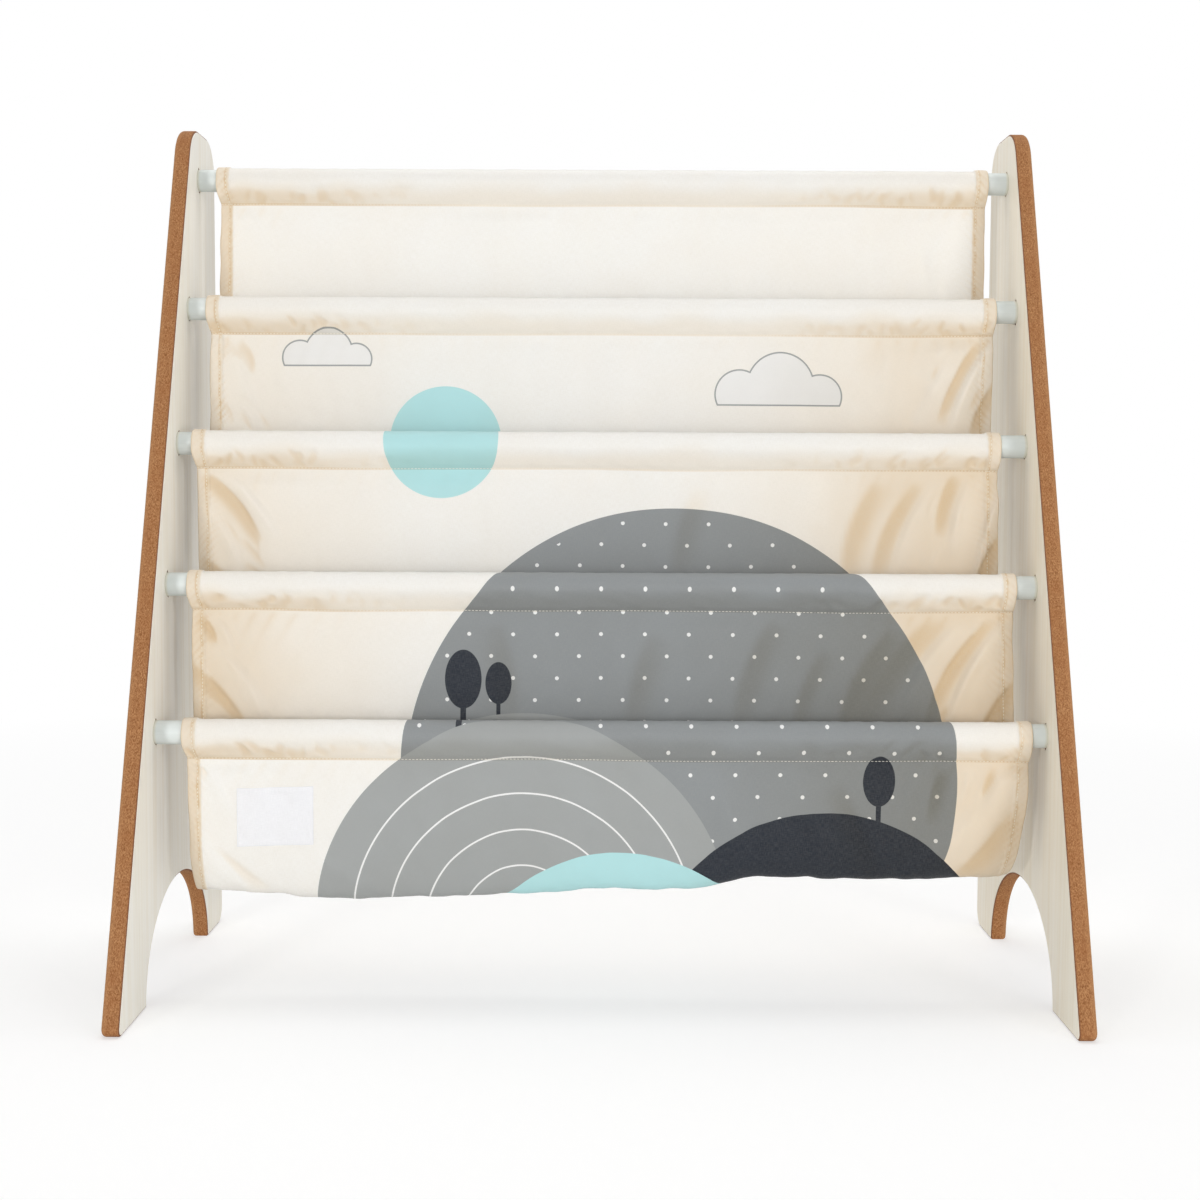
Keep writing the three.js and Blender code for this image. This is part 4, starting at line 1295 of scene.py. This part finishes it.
steps_right, steps_down = label_steps
right, down = np.meshgrid(
    np.linspace(0, label_width, steps_right), np.linspace(0, label_height, steps_down), indexing="ij")
to_edge = np.minimum(np.minimum(right, label_width - right), np.minimum(down, label_height - down))
thick = label_ply * (0.55 + 0.45 * smooth(to_edge, label_hem + label_hem_step, label_hem))
thick = thick * (0.35 + 0.65 * smooth(to_edge, *label_rounding))
sewn = np.exp(-(((to_edge - label_stitch_inset) / groove_reach) ** 2))
swell = label_swell * (1 - sewn) * smooth(to_edge, label_stitch_inset, label_swell_full)
lift = label_gap + swell * (1 + waves(right, down, 0.02, 7))
face, _ = label_point(right, down, lift + thick)
back, _ = label_point(right, down, 0 * lift + label_gap / 2)
label = cloth_sheet(
    "blank_label", face, back, (right, -down), (right, -down), (0 * right, 0 * right), 0 * right,
    label_finish())
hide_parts("sling_label")

label_lines = []
far_right, far_down = label_width - label_stitch_inset, label_height - label_stitch_inset
for length, start, step in (
    (label_width, (0.0, label_stitch_inset), (1, 0)), (label_width, (0.0, far_down), (1, 0)),
    (label_height, (label_stitch_inset, 0.0), (0, 1)), (label_height, (far_right, 0.0), (0, 1)),
):
    reach = stitch_places(length) * length
    places = [start[axis] + step[axis] * reach for axis in range(2)]
    onwards = [place + small_step * step[axis] for axis, place in enumerate(places)]
    here, outward = label_point(*places, 0 * reach + label_stitch_height)
    ahead, _ = label_point(*onwards, 0 * reach + label_stitch_height)
    label_lines.append((here, ahead - here, outward))
points, faces = stitches(label_lines)
solid_piece("label_stitching", points, faces.tolist(), thread_material)

# Floor. A plain pale floor that keeps the shelf's soft shadow near it and runs out into white
# further off.

floor_reach = 6.0
shadow_reach = (0.55, 1.5)  # from the shelf's middle, from where to where the floor turns white
shadow_share = 0.50  # how much of the floor's shading shows nearer than that
floor_gain = 1.14  # lifts the lit floor to white in the picture
floor_mesh = bpy.data.meshes.new("floor")
corners = [(-1, -1), (1, -1), (1, 1), (-1, 1)]
floor_mesh.from_pydata([(floor_reach * x, floor_reach * y, 0) for x, y in corners], [], [(0, 1, 2, 3)])
floor = bpy.data.objects.new("floor", floor_mesh)
bpy.context.scene.collection.objects.link(floor)


def seen_directly(nodes):
    """1 for rays from the camera, and for those that a shiny or clear surface passes on."""
    path = nodes.node("LightPath").outputs
    shown = nodes.math("MAXIMUM", path["Is Camera Ray"], path["Is Glossy Ray"])
    return nodes.math("MAXIMUM", shown, path["Is Transmission Ray"])


def floor_material():
    """Matt pale paint with faint clouds. Where it is seen directly it is lifted, and further and
    further from the shelf its shading gives way to plain white light."""
    finish = Finish("pale_floor", Roughness=0.9, Specular_IOR_Level=0.0)
    shown = seen_directly(finish)
    clouds = finish.noise(finish.place(), 3.0, 2.0)
    colour = finish.mix(clouds, paint(238, 238, 237), paint(242, 242, 241))
    finish.dressed(finish.mix(shown, colour, (floor_gain, floor_gain, floor_gain, 1)))
    plain = finish.ramp(finish.vectors("LENGTH", finish.place()), *shadow_reach, 1 - shadow_share, 1.0)
    glow = finish.node("Emission", {"Color": (1, 1, 1, 1), "Strength": 1.0}).outputs[0]
    return finish.blended(finish.math("MULTIPLY", shown, plain), glow)


floor_mesh.materials.append(floor_material())

# Sky and lamps. A dim white sky gives even light and is seen as plain white, and four square
# softboxes stand round the shelf: two low ones in front and two high ones behind.

sky_strength = 0.50
world = bpy.data.worlds.new("white_studio")
world.use_nodes = True
bpy.context.scene.world = world
sky, background = Nodes(world.node_tree), world.node_tree.nodes["Background"]
background.inputs["Color"].default_value = (1, 1, 1, 1)
sky.give(background.inputs["Strength"], sky.ramp(seen_directly(sky), 0.0, 1.0, sky_strength, 1.0))


def softbox(name, turn, climb, distance, size, power):
    """A square area lamp that looks at the shelf's middle from that far away, turned round it from
    the front and raised by those angles in degrees."""
    aim = Vector((0, 0, panel_height / 2))
    turn, climb = math.radians(turn), math.radians(climb)
    towards = Vector((math.cos(climb) * math.sin(turn), -math.cos(climb) * math.cos(turn), math.sin(climb)))
    lamp = bpy.data.lights.new(name, "AREA")
    lamp.shape, lamp.size, lamp.energy = "SQUARE", size, power
    box = bpy.data.objects.new(name, lamp)
    box.location = aim + distance * towards
    box.rotation_euler = towards.to_track_quat("Z", "Y").to_euler()
    bpy.context.scene.collection.objects.link(box)


softbox("key_softbox", -25, 4, 3.0, 0.4, 24.5)
softbox("fill_softbox", 34, 2, 2.8, 0.8, 22)
for side_name, side in sides.items():
    softbox(f"{side_name}_rear_softbox", side * 150, 71, 2.3, 1.0, 10)

# Camera. It stands where the photograph was taken from, 1.2 m in front of the shelf and a little
# above its middle, and looks slightly down.

image_width = 1200
focal_pixels = 1732.3
camera_place = (-0.0010, -1.1931, 0.3454)
pitch, yaw, roll = (math.radians(angle) for angle in (3.972, -0.012, 0.25))
camera_data = bpy.data.cameras.new("camera")
camera_data.sensor_width = 36.0
camera_data.lens = focal_pixels * camera_data.sensor_width / image_width
level_right = Vector((math.cos(yaw), math.sin(yaw), 0))
level_ahead = Vector((-math.sin(yaw), math.cos(yaw), 0))
ahead = level_ahead * math.cos(pitch) - Vector((0, 0, math.sin(pitch)))
level_up = level_ahead * math.sin(pitch) + Vector((0, 0, math.cos(pitch)))
camera_right = level_right * math.cos(roll) + level_up * math.sin(roll)
camera_up = level_up * math.cos(roll) - level_right * math.sin(roll)
turn = Matrix((camera_right, camera_up, -ahead)).transposed().to_4x4()
camera = bpy.data.objects.new("camera", camera_data)
camera.matrix_world = Matrix.Translation(camera_place) @ turn
bpy.context.scene.collection.objects.link(camera)
bpy.context.scene.camera = camera

bpy.context.scene.view_settings.view_transform = "Standard"
